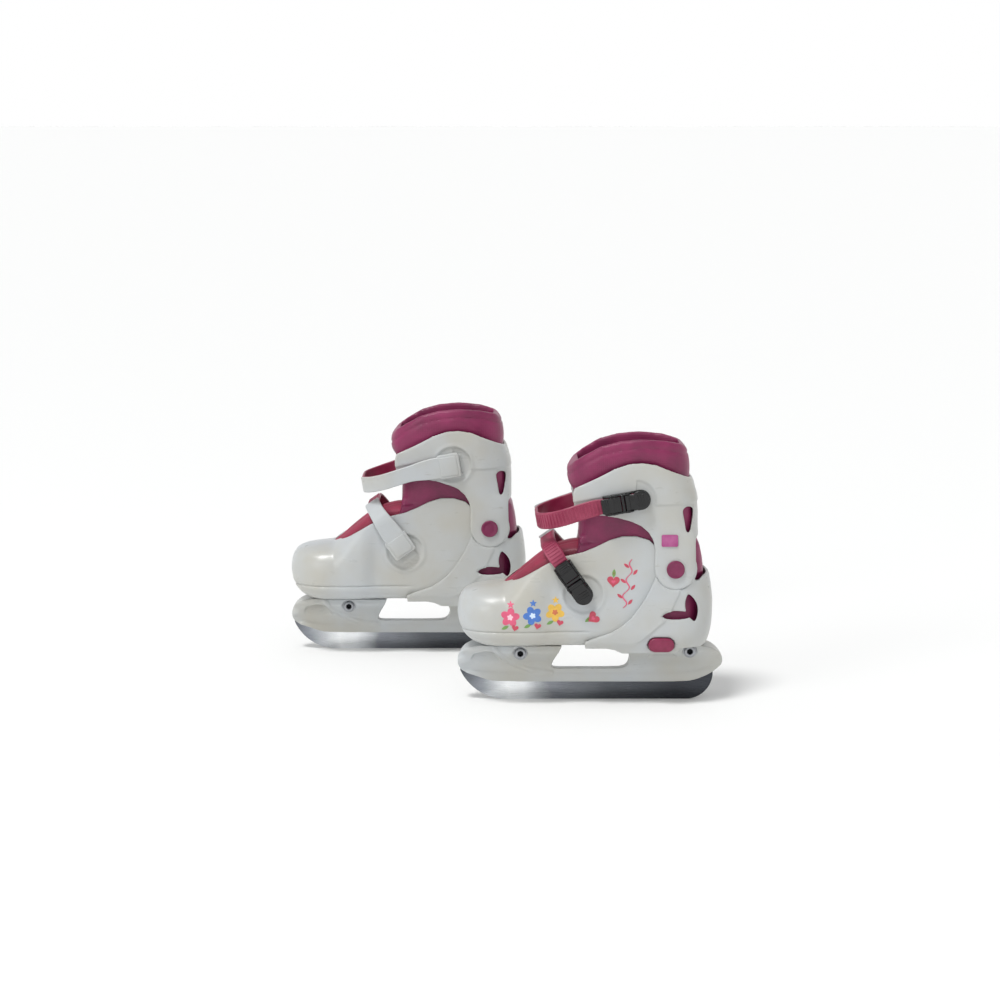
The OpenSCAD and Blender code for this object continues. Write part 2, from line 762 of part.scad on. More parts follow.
module upper_on() { color(buckle_black) boot() on_outside(upper_at, outer_face) children(); }
module lower_on() { color(buckle_black) boot() on_outside(lower_at, mid_face) children(); }

// ---------- the pair ----------

for (s = SIDES) {
    place(s) heel_shell();
    place(s) blade_holder();
    place(s) blade();
    place(s) mount_bolts();
    place(s) mount_nuts();
    place(s) pivot_rivets();
    place(s) pivot_caps();
    place(s) liner_boot();
    place(s) insole();
    place(s) tongue();
    place(s) toe_shell();
    place(s) lower_on() buckle_base();
    place(s) lower_on() buckle_pins();
    place(s) lower_strap();
    place(s) lower_strap_cover();
    place(s) lower_rivets();
    place(s) cuff();
    place(s) liner_collar();
    place(s) upper_on() buckle_base();
    place(s) upper_on() buckle_pins();
    place(s) upper_strap();
    place(s) upper_strap_cover();
    place(s) upper_rivets();
    place(s) label_plate();
    place(s) size_button();
    place(s) upper_on() buckle_lever();
    place(s) upper_on() buckle_tab();
    place(s) lower_on() buckle_lever();
    place(s) lower_on() buckle_tab();
}
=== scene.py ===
# A pair of children's hard-shell ice skates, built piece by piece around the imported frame.
# Shapes are drawn once for the left skate, in millimetres, in the skate's own axes:
# x runs from the toe (-) to the heel (+), y is negative on the outer side, z is up from the ice.
import math
import bpy
import bmesh
import numpy as np
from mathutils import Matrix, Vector
from mathutils.bvhtree import BVHTree


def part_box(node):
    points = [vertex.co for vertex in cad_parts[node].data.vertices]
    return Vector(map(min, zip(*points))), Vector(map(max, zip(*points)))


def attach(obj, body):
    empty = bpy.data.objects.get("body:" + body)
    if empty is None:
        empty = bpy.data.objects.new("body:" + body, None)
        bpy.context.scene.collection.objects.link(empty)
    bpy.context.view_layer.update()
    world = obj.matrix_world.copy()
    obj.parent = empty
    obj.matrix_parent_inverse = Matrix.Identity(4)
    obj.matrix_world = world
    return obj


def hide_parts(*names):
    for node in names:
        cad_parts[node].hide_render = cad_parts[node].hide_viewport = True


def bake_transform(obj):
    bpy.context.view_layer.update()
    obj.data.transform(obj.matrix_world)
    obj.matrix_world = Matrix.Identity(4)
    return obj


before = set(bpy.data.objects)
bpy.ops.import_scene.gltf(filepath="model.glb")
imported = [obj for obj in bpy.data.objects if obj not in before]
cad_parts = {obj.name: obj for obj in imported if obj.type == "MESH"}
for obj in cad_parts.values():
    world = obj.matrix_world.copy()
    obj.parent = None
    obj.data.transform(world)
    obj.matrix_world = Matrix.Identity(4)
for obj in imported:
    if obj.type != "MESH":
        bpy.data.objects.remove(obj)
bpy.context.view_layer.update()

MM = 0.001
SIDES = ("left", "right")
SHARP_ANGLE = 38         # an edge that turns further than this stays crisp, in degrees
scene = bpy.context.scene


# ---- where each skate stands
# The blade holder is as long as the skate and centred on it, so its box gives each skate's
# own origin. The right skate is the left one mirrored, so its y axis points the other way.
def skate_axes(side):
    low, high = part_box(side + "_blade_holder")
    return (low[0] + high[0]) / 2, (low[1] + high[1]) / 2, 1 if side == "left" else -1


def in_row(side, points):
    """Points in a skate's millimetres, turned into the row frame in metres."""
    ox, oy, flip = skate_axes(side)
    points = np.asarray(points, float)
    return points * MM * (1, flip, 1) + (ox, oy, 0)


def in_scene(name, data):
    obj = bpy.data.objects.new(name, data)
    scene.collection.objects.link(obj)
    return obj


def new_object(name, verts, faces):
    mesh = bpy.data.meshes.new(name)
    mesh.from_pydata([tuple(v) for v in verts], [], faces)
    mesh.update()
    return in_scene(name, mesh)


def plain_mesh(obj):
    """An object's mesh with its modifiers worked out."""
    bpy.context.view_layer.update()
    graph = bpy.context.evaluated_depsgraph_get()
    return bpy.data.meshes.new_from_object(obj.evaluated_get(graph))


def evaluated(obj):
    mesh, old = plain_mesh(obj), obj.data
    obj.modifiers.clear()
    obj.data = mesh
    bpy.data.meshes.remove(old)
    return obj


def reshape(mesh, change):
    """Moves a mesh's points to where change puts them."""
    points = np.zeros(len(mesh.vertices) * 3)
    mesh.vertices.foreach_get("co", points)
    mesh.vertices.foreach_set("co", change(points.reshape(-1, 3)).ravel())
    mesh.update()


def place(draft, part, body, material, replaced=()):
    """Makes the left and right copies of a draft drawn in millimetres, and rides them."""
    placed = []
    for side in SIDES:
        mesh = draft.data.copy()
        mesh.name = side + "_" + part
        reshape(mesh, lambda points: in_row(side, points))
        if side == "right":
            mesh.flip_normals()
        mesh.shade_smooth()
        mesh.set_sharp_from_angle(angle=math.radians(SHARP_ANGLE))
        obj = in_scene(side + "_" + part, mesh)
        mesh.materials.clear()
        mesh.materials.append(material)
        if body:
            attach(obj, side + "_" + body)
        if replaced:
            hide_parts(*[side + "_" + node for node in replaced])
        placed.append(obj)
    bpy.data.objects.remove(draft)
    return placed


# ---- white moulded shell plastic
# Semi-gloss polypropylene, injection moulded. It is cool white, has gone faintly beige in
# places, and carries scuffs from use, so gloss and tint vary softly across it.
def linear(hex_colour):
    values = [int(hex_colour[i:i + 2], 16) / 255 for i in (1, 3, 5)]
    return [v / 12.92 if v <= 0.04045 else ((v + 0.055) / 1.055) ** 2.4 for v in values] + [1]


def new_material(name, **values):
    """A material, with the shader's plain values; _ stands for a space in their names."""
    material = bpy.data.materials.new(name)
    material.use_nodes = True
    for key, value in values.items():
        inputs = material.node_tree.nodes["Principled BSDF"].inputs
        inputs[key.replace("_", " ")].default_value = value
    return material


def node(owner, kind, inputs=None, **settings):
    """Adds a node to a material, world or group. An input is a value or a socket to link."""
    tree = getattr(owner, "node_tree", owner)
    made = tree.nodes.new(kind)
    for key, value in settings.items():
        setattr(made, key, value)
    for key, value in (inputs or {}).items():
        if isinstance(value, bpy.types.NodeSocket):
            tree.links.new(value, made.inputs[key])
        else:
            made.inputs[key].default_value = value
    return made


def finish(material, **patterns):
    """Links colour, roughness and normal patterns to a material's shader."""
    inputs = material.node_tree.nodes["Principled BSDF"].inputs
    for key, output in patterns.items():
        material.node_tree.links.new(output, inputs[key.replace("_", " ")])
    return material


def ramp(material, factor, stops):
    """A colour ramp through (place, hex colour) stops."""
    made = node(material, "ShaderNodeValToRGB", {"Fac": factor})
    elements = made.color_ramp.elements
    while len(elements) < len(stops):
        elements.new(0.5)
    for element, (place_at, colour) in zip(elements, stops):
        element.position = place_at
        element.color = linear(colour)
    return made.outputs["Color"]


def spread(material, value, low, high, out_low, out_high):
    made = node(material, "ShaderNodeMapRange",
                {"Value": value, "From Min": low, "From Max": high,
                 "To Min": out_low, "To Max": out_high})
    return made.outputs["Result"]


def noise(material, size_mm, detail=3.0, stretch=(1, 1, 1), roughness=0.5):
    """Noise whose features are about size_mm across, longer along the larger stretch."""
    where = node(material, "ShaderNodeTexCoord").outputs["Object"]
    scaled = node(material, "ShaderNodeMapping",
                  {"Vector": where, "Scale": [1 / s for s in stretch]}).outputs["Vector"]
    made = node(material, "ShaderNodeTexNoise",
                {"Vector": scaled, "Scale": 1 / (size_mm * MM), "Detail": detail,
                 "Roughness": roughness})
    return made.outputs["Fac"]


def bump(material, height, strength, distance_mm):
    made = node(material, "ShaderNodeBump",
                {"Height": height, "Strength": strength, "Distance": distance_mm * MM})
    return made.outputs["Normal"]


# The fine grain of every plastic below is drawn coarser than real, so that it shows.
def shell_plastic(name, fresh, aged, scuff, roughness):
    material = new_material(name, IOR=1.49, Subsurface_Weight=0.04,
                            Subsurface_Radius=(0.004, 0.003, 0.0025))
    scuffs = noise(material, 9, 8, (3.5, 1, 0.8), 0.7)
    base = ramp(material, noise(material, 70, 4), [(0.38, fresh), (0.68, aged)])
    marks = spread(material, scuffs, 0.66, 0.74, 0, 0.5)
    mixed = node(material, "ShaderNodeMix", {0: marks, 6: base, 7: linear(scuff)}, data_type="RGBA")
    return finish(
        material, Base_Color=mixed.outputs[2],
        Roughness=spread(material, scuffs, 0.3, 0.75, roughness - 0.06, roughness + 0.16),
        Normal=bump(material, noise(material, 1.2, 2), 0.08, 0.15))


WHITE_SHELL = shell_plastic("white_moulded_polypropylene", "#B8BCBE", "#B3B1A8", "#8A857A", 0.3)


# ---- blade holders
# The holder is one white moulding that grips the blade in a groove below and carries the boot
# on two flared pedestals. A window lightens it between them, and a pocket its front lobe.
SOLE = 54.0              # height of the boot's sole above the ice
HALF_LEN = 120.5         # half the length of the holder
DECK = SOLE - 0.3        # top of the holder
BOLTS = ((-65, 46), (91, 48))
BOLT_SEAT = 17           # from the middle to the face that a bolt's head rests on


def flow(x, knots):
    """A smooth curve through (place, value) knots, without overshoot."""
    xs = np.array([k[0] for k in knots], float)
    ys = np.array([k[1] for k in knots], float)
    x = np.clip(x, xs[0], xs[-1])
    slopes = np.diff(ys) / np.diff(xs)
    tangents = np.zeros(len(xs))
    for i in range(1, len(xs) - 1):
        a, b = slopes[i - 1], slopes[i]
        tangents[i] = 0 if a * b <= 0 else 2 * a * b / (a + b)
    tangents[0], tangents[-1] = slopes[0], slopes[-1]
    i = np.clip(np.searchsorted(xs, x) - 1, 0, len(xs) - 2)
    width = xs[i + 1] - xs[i]
    t = (x - xs[i]) / width
    return ((2 * t**3 - 3 * t**2 + 1) * ys[i] + (t**3 - 2 * t**2 + t) * width * tangents[i]
            + (3 * t**2 - 2 * t**3) * ys[i + 1] + (t**3 - t**2) * width * tangents[i + 1])


def rounded(points, rounds=3):
    """A closed outline with its corners cut and cut again until they run smoothly."""
    points = np.array(points, float)
    for _ in range(rounds):
        after = np.roll(points, -1, axis=0)
        points = np.stack([points * 0.75 + after * 0.25, points * 0.25 + after * 0.75], 1)
        points = points.reshape(-1, 2)
    return points


def circle(x, z, radius, count=40):
    a = np.linspace(0, 2 * np.pi, count, endpoint=False)
    return np.stack([x + radius * np.cos(a), z + radius * np.sin(a)], 1)


def swung(u, v, degrees):
    """A point (u, v) turned about the origin."""
    c, s = math.cos(math.radians(degrees)), math.sin(math.radians(degrees))
    return u * c - v * s, u * s + v * c


def stadium(x, z, half, radius, turn=0.0):
    """Two round ends of a radius, their centres half away on either side of the middle."""
    a = np.linspace(-np.pi / 2, np.pi / 2, 24)
    u, v = half + radius * np.cos(a), radius * np.sin(a)
    u, v = swung(np.concatenate([u, -u]), np.concatenate([v, -v]), turn)
    return np.stack([x + u, z + v], 1)


def box(u0, v0, u1, v1):
    return [(u0, v0), (u0, v1), (u1, v1), (u1, v0)]


def soft_box(u0, v0, u1, v1, radius):
    """A rectangle's outline with round corners."""
    a = np.linspace(0, np.pi / 2, 6)
    corners = ((u1, v1, 0), (u0, v1, 1), (u0, v0, 2), (u1, v0, 3))
    return np.concatenate([
        np.stack([u + radius * (np.cos(a + q * np.pi / 2) - (1 if u == u1 else -1)),
                  v + radius * (np.sin(a + q * np.pi / 2) - (1 if v == v1 else -1))], 1)
        for u, v, q in corners])


def across(outline, low=-60, high=60, axis=1):
    """A solid with a side outline in (x, z), or with axis 2 a plan, from low to high."""
    outline = np.asarray(outline, float)
    n = len(outline)
    verts = [np.insert(point, axis, end) for end in (low, high) for point in outline]
    faces = [tuple(range(n)), tuple(range(2 * n - 1, n - 1, -1))]
    faces += [(i, i + n, (i + 1) % n + n, (i + 1) % n) for i in range(n)]
    return facing_out(new_object("draft", verts, faces))


def upright(outline, low, high):
    return across(outline, low, high, 2)


def on_both_sides(outline, low, high):
    """The same solid on the outer and on the inner side of the skate."""
    return [across(outline, -high, -low), across(outline, low, high)]


def loft(rings):
    """A closed solid through rings of equally many points."""
    rings = [np.asarray(r, float) for r in rings]
    n, m = len(rings[0]), len(rings)
    verts = np.concatenate(rings + [rings[0].mean(0)[None], rings[-1].mean(0)[None]])
    faces = [(r * n + i, r * n + (i + 1) % n, (r + 1) * n + (i + 1) % n, (r + 1) * n + i)
             for r in range(m - 1) for i in range(n)]
    faces += [(m * n, (i + 1) % n, i) for i in range(n)]
    faces += [(m * n + 1, (m - 1) * n + i, (m - 1) * n + (i + 1) % n) for i in range(n)]
    return facing_out(new_object("draft", verts, faces))


def facing_out(obj):
    mesh = bmesh.new()
    mesh.from_mesh(obj.data)
    bmesh.ops.remove_doubles(mesh, verts=mesh.verts, dist=1e-4)
    bmesh.ops.recalc_face_normals(mesh, faces=mesh.faces)
    mesh.to_mesh(obj.data)
    mesh.free()
    return obj


def combine(base, other, operation):
    """base united with, cut by or kept within another solid, which is used up."""
    modifier = base.modifiers.new("combine", "BOOLEAN")
    modifier.operation = operation
    modifier.object = other
    modifier.solver = "MANIFOLD"
    evaluated(base)
    bpy.data.objects.remove(other)
    return base


def cut(base, *others):
    for other in others:
        combine(base, other, "DIFFERENCE")
    return base


def add(base, *others):
    for other in others:
        combine(base, other, "UNION")
    return base


def keep(base, other):
    return combine(base, other, "INTERSECT")


def moulded(obj, grain, soften):
    """Turns sharp solids into one moulding whose edges are a little rounded."""
    remesh = obj.modifiers.new("remesh", "REMESH")
    remesh.mode = "VOXEL"
    remesh.voxel_size = grain
    smooth = obj.modifiers.new("smooth", "SMOOTH")
    smooth.factor = 0.5
    smooth.iterations = soften
    return evaluated(obj)


def ease(value, start, end):
    """0 before start and 1 after end, with a smooth step between."""
    t = np.clip((value - start) / (end - start), 0, 1)
    return t * t * (3 - 2 * t)


def relief(obj, height):
    """Moves a moulding's outer face out by height(x, y, z) millimetres."""
    normals = np.zeros(len(obj.data.vertices) * 3)
    obj.data.vertex_normals.foreach_get("vector", normals)
    normals = normals.reshape(-1, 3)

    def raised(points):
        x, y, z = points.T
        outwards = ease(normals[:, 1] * y / 40 + normals[:, 0] * (x - 20) / 90, 0.1, 0.4)
        return points + normals * (height(x, y, z) * outwards)[:, None]

    reshape(obj.data, raised)


GRAIN = 0.95      # size of a moulding's facets

holder_side = rounded([
    (-118, 26), (-122.6, 32), (-123, 40), (-119, 47.5), (-111, 52), (-102, DECK), (-85, DECK),
    (-70, DECK), (-22, DECK), (11, DECK), (90, DECK), (104, DECK), (114, 50), (120.5, 44),
    (122.5, 37), (119, 30), (107, 22.5), (93, 17.5), (80, 17), (0, 17), (-80, 17), (-94, 18),
    (-106, 22.5)], 2)
holder_side[:, 1] = np.minimum(holder_side[:, 1], DECK)


def holder_ring(x, proud=0.0):
    """The holder's section: a narrow rim at the blade that flares to the deck."""
    end = min(1.0, math.sqrt(max(0.02, 1 - (abs(x) / 125.5) ** 7)))
    deck, rim = 22 * end, max(4.2, 5.2 * end)
    heights = [(14, rim - 0.8), (19, rim), (29, rim + 0.6), (36, rim + 4), (44, deck - 4),
               (48, deck - 0.5), (DECK + 1, deck)]
    z = np.linspace(14, DECK + 1, 22)
    y = np.array([flow(h, heights) for h in z]) + proud
    return np.stack([np.full(44, x), np.concatenate([-y, y[::-1]]),
                     np.concatenate([z, z[::-1]])], 1)


holder = loft([holder_ring(x) for x in np.linspace(-124.5, 124.5, 64)])
keep(holder, across(holder_side, -30, 30))
window = rounded([(-23, 64), (-26, 54), (-37, 33), (-35, 29.5), (-20, 29.5), (24, 29.5),
                  (34, 31.5), (37, 42), (31, 53.7), (28, 64)], 2)
cut(holder, across(window, -40, 40))
# a pocket in each side of the front lobe and of the rear pedestal
pocket = rounded([(-111, 36), (-109, 45), (-98, 48), (-88, 47.5), (-84, 38), (-74, 28.5),
                  (-66, 24.5), (-84, 24), (-100, 28)], 3)
rear_pocket = rounded([(50, 35), (52, 45), (64, 48.5), (78, 46), (80, 37), (72, 29), (56, 28.5)], 3)
for outline, depth in ((pocket, 8.5), (rear_pocket, 14.5)):
    cut(holder, *on_both_sides(outline, depth, 40))
# the ridge that curves down from the deck, round the front bolt and under the window
a = np.linspace(np.pi, 1.5 * np.pi, 24)
ridge = np.concatenate([np.stack([-35 + (55 + w) * np.cos(a), 60 + (34 + w) * np.sin(a)], 1)[::k]
                        for w, k in ((1.7, 1), (-1.7, -1))])
ridge_form = loft([holder_ring(x, 1.5) for x in np.linspace(-100, -20, 30)])
add(holder, keep(ridge_form, across(ridge, -30, 30)))
# the step that runs along the rim above the blade
rail = rounded([(-117, 24), (-112, 29), (-92, 24.5), (0, 24.5), (92, 24.5), (112, 32), (116, 26),
                (94, 15.5), (0, 15.5), (-94, 15.5)], 2)
add(holder, across(rail, -5.9, 5.9))
keep(holder, across(holder_side, -30, 30))
for x, z in BOLTS:
    cut(holder, *on_both_sides(circle(x, z, 6.6), BOLT_SEAT, 40))
moulded(holder, GRAIN, 4)
# the groove that the blade sits in, cut last so that it stays crisp
blade_slot = rounded([(-122, 26), (-114, 29), (-108, 24), (-60, 24), (60, 24), (107, 24),
                      (116, 29), (118, 20), (100, 6), (0, 6), (-100, 6)], 2)
cut(holder, across(blade_slot, -1.52, 1.52))
place(holder, "holder", "chassis", WHITE_SHELL, ["blade_holder"])


# ---- blades
# Each blade is a flat runner of hardened steel, ground along its sides and polished, with long fine
# grinding lines. Its colour holds a painted reflection: a bright painted highlight near the front that
# fades to dark painted reflection towards its ends.
def steel_with_painted_light(name, stops, roughness, line_mm):
    material = new_material(name, Metallic=1.0)
    lines = noise(material, line_mm, 5, (60, 1, 1), 0.6)
    stains = noise(material, 22, 3, (2, 1, 1))
    # the along attribute places painted light in the colour: the blade's painted highlight and painted
    # reflection, and the painted shade in the bolts' sockets
    painted_light_factor = node(material, "ShaderNodeAttribute", attribute_name="along").outputs["Fac"]
    tone_and_painted_light = node(material, "ShaderNodeMath", {0: stains, 1: 0.12, 2: painted_light_factor},
                   operation="MULTIPLY_ADD").outputs[0]
    return finish(
        material, Base_Color=ramp(material, tone_and_painted_light, stops),
        Roughness=spread(material, lines, 0.3, 0.7, roughness - 0.06, roughness + 0.1),
        Normal=bump(material, lines, 0.25, 0.05))


# these stops are painted reflection: dark at the tip, a painted highlight band near the front, darker
# again towards the heel
BLADE_STEEL_PAINTED_REFLECTION = steel_with_painted_light("ground_carbon_steel_painted_reflection", [
    (0.04, "#4A4D52"), (0.13, "#969AA1"), (0.24, "#F6F8FA"), (0.31, "#F0F2F5"),
    (0.41, "#8C8F96"), (0.62, "#606368"), (0.86, "#44464B")], 0.26, 0.6)
FLAT_START, FLAT_END = -78.5, 88.5       # the flat stretch of the edge
FRONT_R, REAR_R = 46.0, 25.0             # its two end curves


def blade_edge(x):
    """Height of the blade's lower edge."""
    if x < FLAT_START:
        return FRONT_R - math.sqrt(max(0, FRONT_R**2 - (FLAT_START - x) ** 2))
    if x > FLAT_END:
        return REAR_R - math.sqrt(max(0, REAR_R**2 - (x - FLAT_END) ** 2))
    return 0.0


def blade_ring(x):
    """The blade's section: parallel sides, with fine bevels along the ground edge."""
    low, high = blade_edge(x), flow(x, [(-121, 29), (-108, 24), (104, 24), (113.5, 30)])
    half, edge = 1.5, 1.28
    return [(x, -edge, low), (x, -half, low + 0.5), (x, -half, high), (x, half, high),
            (x, half, low + 0.5), (x, edge, low)]


stations = np.concatenate([FLAT_START - 42 * np.sin(np.linspace(np.pi / 2, 0, 26)),
                           np.linspace(FLAT_START + 4, FLAT_END - 4, 40),
                           FLAT_END + 24.9 * np.sin(np.linspace(0, np.pi / 2, 22))])
runner = loft([blade_ring(x) for x in stations])
# where each point lies along the blade, which places the painted highlight and the painted dark
# reflection of the ramp
painted_light_factor = runner.data.attributes.new("along", "FLOAT", "POINT")
painted_light_factor.data.foreach_set("value", [(v.co.x + HALF_LEN) / (2 * HALF_LEN) for v in runner.data.vertices])
place(runner, "runner", "chassis", BLADE_STEEL_PAINTED_REFLECTION, ["blade"])


# ---- toe shells
# The front half of each boot is a white moulding with a closed toe cap. Behind the cap it opens
# upwards for the tongue, and its thin side walls run back under the heel shell's band, where
# they slide to change the size. A parting line runs round it above the sole.
WALL = 3.0
TOE_FACE = 38.5          # outer face of its side walls, beside the ankle
SEAT_FACE = 35.6         # inner face of the seats and lugs on both sides
OUTER_FACE = 41.8        # outer face of the heel shell and the cuff
TOE_TIP = -123.0

toe_half_widths = [(-79, 43.6), (-66, 44), (-52, 43), (-36, 38.9), (-28, 38.5), (63, 38.5)]
toe_lows = [(-123, 83), (-121, 73.5), (-116, 65.5), (-108, 59), (-98, 55.4), (-84, 54), (63, 54)]
toe_highs = [(-123, 83), (-122.3, 92), (-120, 99), (-115, 104.5), (-106, 108), (-92, 110),
             (-79, 111.6), (-73, 118), (-60, 135), (-42, 153), (-20, 173), (0, 192), (63, 222)]
upper_bends = [(-79, 2.7), (-50, 3.4), (-24, 7), (-5, 14)]      # squarer towards the ankle


def bent(values, power):
    """Sines or cosines, bent so that a round section becomes squarer."""
    return np.sign(values) * np.abs(values) ** power


def toe_ring(x, inset):
    """The toe shell's section, or that of the space inside it."""
    tip = TOE_TIP + inset
    centre = -79.0
    if x < centre:
        share = (centre - x) / (centre - tip)
        half = (43.6 - inset) * max(0.0, 1 - share**2.25) ** (1 / 2.25)
        place_at = centre + (TOE_TIP - centre) * share
    else:
        half, place_at = flow(x, toe_half_widths) - inset, x
    low, high = flow(place_at, toe_lows), flow(place_at, toe_highs)
    middle = 83 - 11 * min(1, max(0, (place_at - TOE_TIP) / 50)) ** 0.5
    low = middle + (low - middle) * (1 - inset / max(6, middle - low))
    high = middle + (high - middle) * (1 - inset / max(6, high - middle))
    a = np.linspace(0, 2 * np.pi, 72, endpoint=False)
    up = np.sin(a) > 0
    power = np.where(up, 2 / flow(place_at, upper_bends), 2 / 3.6)
    y = half * bent(np.cos(a), power)
    z = middle + np.where(up, high - middle, middle - low) * bent(np.sin(a), power)
    return np.stack([np.full(72, x), y, z], 1)


def toe_solid(inset, end):
    tip = TOE_TIP + inset
    xs = np.concatenate([-79 + (tip + 79) * np.cos(np.linspace(0.03, np.pi / 2, 30)[:-1]),
                         np.linspace(-79, end, 44)])
    return loft([toe_ring(x, inset) for x in xs])


toe_top_line = [(-79, 112.2), (-66, 117.6), (-42, 131.6), (-27, 139), (-8, 143.4), (4, 148.4),
                (16, 154.4), (28, 158.2), (40, 158.2), (52, 154.6), (58, 149), (62, 141)]
toe_side = np.array(
    [(-140, 20), (-140, 125), (-85, 125)] + toe_top_line
    + [(62.4, 128), (62.3, 112), (56, 90), (49, 70), (49, 57.4), (14.6, 57.4), (14.6, 20)])
toe = keep(toe_solid(0, 70), across(toe_side))
cut(toe, keep(toe_solid(WALL, 90), across(box(-130, 57, 95, 300))))
# the tongue's opening, round in front and widening towards the ankle
front_arc = [(-57 - 22 * math.cos(a), 22 * math.sin(a)) for a in np.linspace(-1.45, 1.45, 21)]
cut(toe, upright(front_arc + [(-30, 27.5), (-8, 33), (10, 35.3), (90, 35.3), (90, -35.3),
                              (10, -35.3), (-8, -33), (-30, -27.5)], 80, 300))
# a round seat that carries the buckle on one side and the strap's cover on the other
LOWER_AT, LOWER_SLOPE = (-16.0, 116.0), -55.0
UPPER_AT, UPPER_SLOPE = (30.0, 190.0), 10.0


def along(at, slope, u, v=0.0):
    """A point u along a buckle's axis and v across it, in the skate's (x, z)."""
    u, v = swung(u, v, slope)
    return at[0] + u, at[1] + v


tail = along(LOWER_AT, LOWER_SLOPE, 14.1)
seat = stadium(*along(LOWER_AT, LOWER_SLOPE, 1), 12, 10.5, LOWER_SLOPE)
add(toe, *on_both_sides(seat, SEAT_FACE, TOE_FACE))
moulded(toe, GRAIN * 1.12, 5)            # a coarser grain keeps it under 200,000 triangles


def round_recess(x, z, centre, slope, radius, depth):
    """A shallow round recess beyond a buckle's or a cover's end, with a soft raised rim."""
    away = np.hypot(x - centre[0], z - centre[1])
    u, v = swung(x - centre[0], z - centre[1], -slope)
    beyond = np.maximum(ease(u, 8, 10.5), ease(np.abs(v), 8, 10))
    rim = np.exp(-((away - radius - 1.5) / 2.2) ** 2)
    return (0.7 * rim - depth * (1 - ease(away, radius - 1.2, radius + 1)) * beyond) * ease(u, -26, -8)


def toe_relief(x, y, z):
    rim = 0.8 * ease(-z, -69.5, -68.5) - 0.8 * np.exp(-((z - 69.6) / 0.8) ** 2)
    return rim * (1 - ease(x, -8, 2)) + round_recess(x, z, tail, LOWER_SLOPE, 17.5, 0.9)


relief(toe, toe_relief)
toe_surface = BVHTree.FromPolygons([v.co[:] for v in toe.data.vertices],
                                   [p.vertices[:] for p in toe.data.polygons])
place(toe, "toe_shell_skin", "toe", WHITE_SHELL, ["toe_shell"])


# ---- heel shells
# The rear half of each boot is a thicker white moulding. Its band sweeps down and forward from
# the ankle over the toe shell, and the heel has a lens-shaped hole, a slot and an opening for
# the size button, through which the magenta liner shows.
heel_backs = [(44, 101), (49, 103.5), (54, 105.5), (60, 108), (70, 110.6), (82, 111.8),
              (94, 112), (106, 111), (116, 109.5), (126, 107.5)]
heel_halves = [(44, 33), (49, 36), (55, 38.9), (62, 41), (70, 41.8), (130, 41.8)]


def back_ring(z, back, half, centre, front, power):
    """A plan section that is straight along the sides and round at the back."""
    a = np.linspace(-np.pi / 2, np.pi / 2, 49)
    x = centre + (back - centre) * np.abs(np.cos(a)) ** (2 / power)
    y = half * bent(np.sin(a), 2 / power)
    sides = np.linspace(front, centre, 12, endpoint=False)
    x = np.concatenate([sides, x, sides[::-1]])
    y = np.concatenate([np.full(12, -half), y, np.full(12, half)])
    return np.stack([x, y, np.full(len(x), z)], 1)


def heel_solid(inset, low, high, front=-30.0):
    zs = np.linspace(low, high, 40)
    return loft([back_ring(z, flow(z, heel_backs) - inset, flow(z, heel_halves) - inset, 62,
                           front, 3.0) for z in zs])


PIVOT = (76.0, 128.0)
heel_side = np.array(
    [(-6, 54), (-5.5, 60.5), (0, 62.8), (7, 65.3), (18, 69.2), (28, 75.2), (37, 84), (45.3, 95.5),
     (52, 107), (56.8, 118), (59, 126), (60, 133), (92, 133), (92, 117), (97.5, 117.4),
     (102, 121), (105.5, 122), (108.5, 120.5), (120, 108), (120, 80), (113, 60), (106, 54.2),
     (82, 54.2), (78.5, 51), (74, 49), (28, 49), (21, 52.5), (14, 54)])
heel = keep(heel_solid(0, 45, 134), across(heel_side))
cut(heel, heel_solid(WALL, 57, 140, -40), across(circle(*PIVOT, 19.4, 64)))
cut(heel, heel_solid(WALL, 44, 53.9, 15))
# the ankle lugs, inside the cuff's arms
for lug, foot in zip(on_both_sides(circle(*PIVOT, 20, 64), SEAT_FACE, TOE_FACE),
                     on_both_sides(box(63.2, 92, 89, 126), SEAT_FACE, TOE_FACE)):
    keep(lug, across(box(63.2, 100, 97, 150)))
    add(heel, add(lug, foot))
add(heel, *on_both_sides(box(63.2, 92, 84, 106.2), 36.5, 40.5))
lens = across(circle(91 + 13.8 * math.cos(0.24), 92 + 13.8 * math.sin(0.24), 19.3, 90))
keep(lens, across(circle(91 - 13.8 * math.cos(0.24), 92 - 13.8 * math.sin(0.24), 19.3, 90)))
slot = across(rounded([(61, 81.6), (92, 81.6), (87.5, 89.4), (67, 89.4)], 2))
cut(heel, lens, slot)
BUTTON_AT = (63.5, 58.0)
cut(heel, across(stadium(*BUTTON_AT, 5.5, 6.9), -60, -30))
moulded(heel, GRAIN, 4)


def heel_relief(x, y, z):
    """The band stands proud of the heel cup, up to a crease that sweeps down from the ankle."""
    crease = np.interp(z, [56, 62, 82, 104, 118], [34, 46, 69, 79, 84])
    return 0.9 * (1 - ease(x, crease - 0.8, crease + 0.8)) * ease(z, 55, 60) * (1 - ease(x, 96, 100))


relief(heel, heel_relief)
place(heel, "heel_shell_skin", "chassis", WHITE_SHELL, ["heel_shell"])


# ---- ankle cuffs
# The cuff is a white moulded collar, open in front, that turns on two rivets at the ankle.
# Its arms end in round lobes. A slot runs up each side near the back, and a low step
# crosses it under the strap. A recess on the inner side takes the strap cover's end.
cuff_backs = [(100, 97.4), (150, 97.8), (176, 97.8), (190, 96.8), (200, 94.5), (212, 91), (230, 88)]


def cuff_solid(inset, low, high, front):
    rings = []
    for z in np.linspace(low, high, 46):
        power = flow(z, [(100, 9), (146, 9), (164, 3.6), (180, 3.0), (230, 2.8)])
        half = flow(z, [(100, OUTER_FACE), (206, OUTER_FACE), (228, 41.2)])
        rings.append(back_ring(z, flow(z, cuff_backs) - inset, half - inset, 56, front, power))
    return loft(rings)


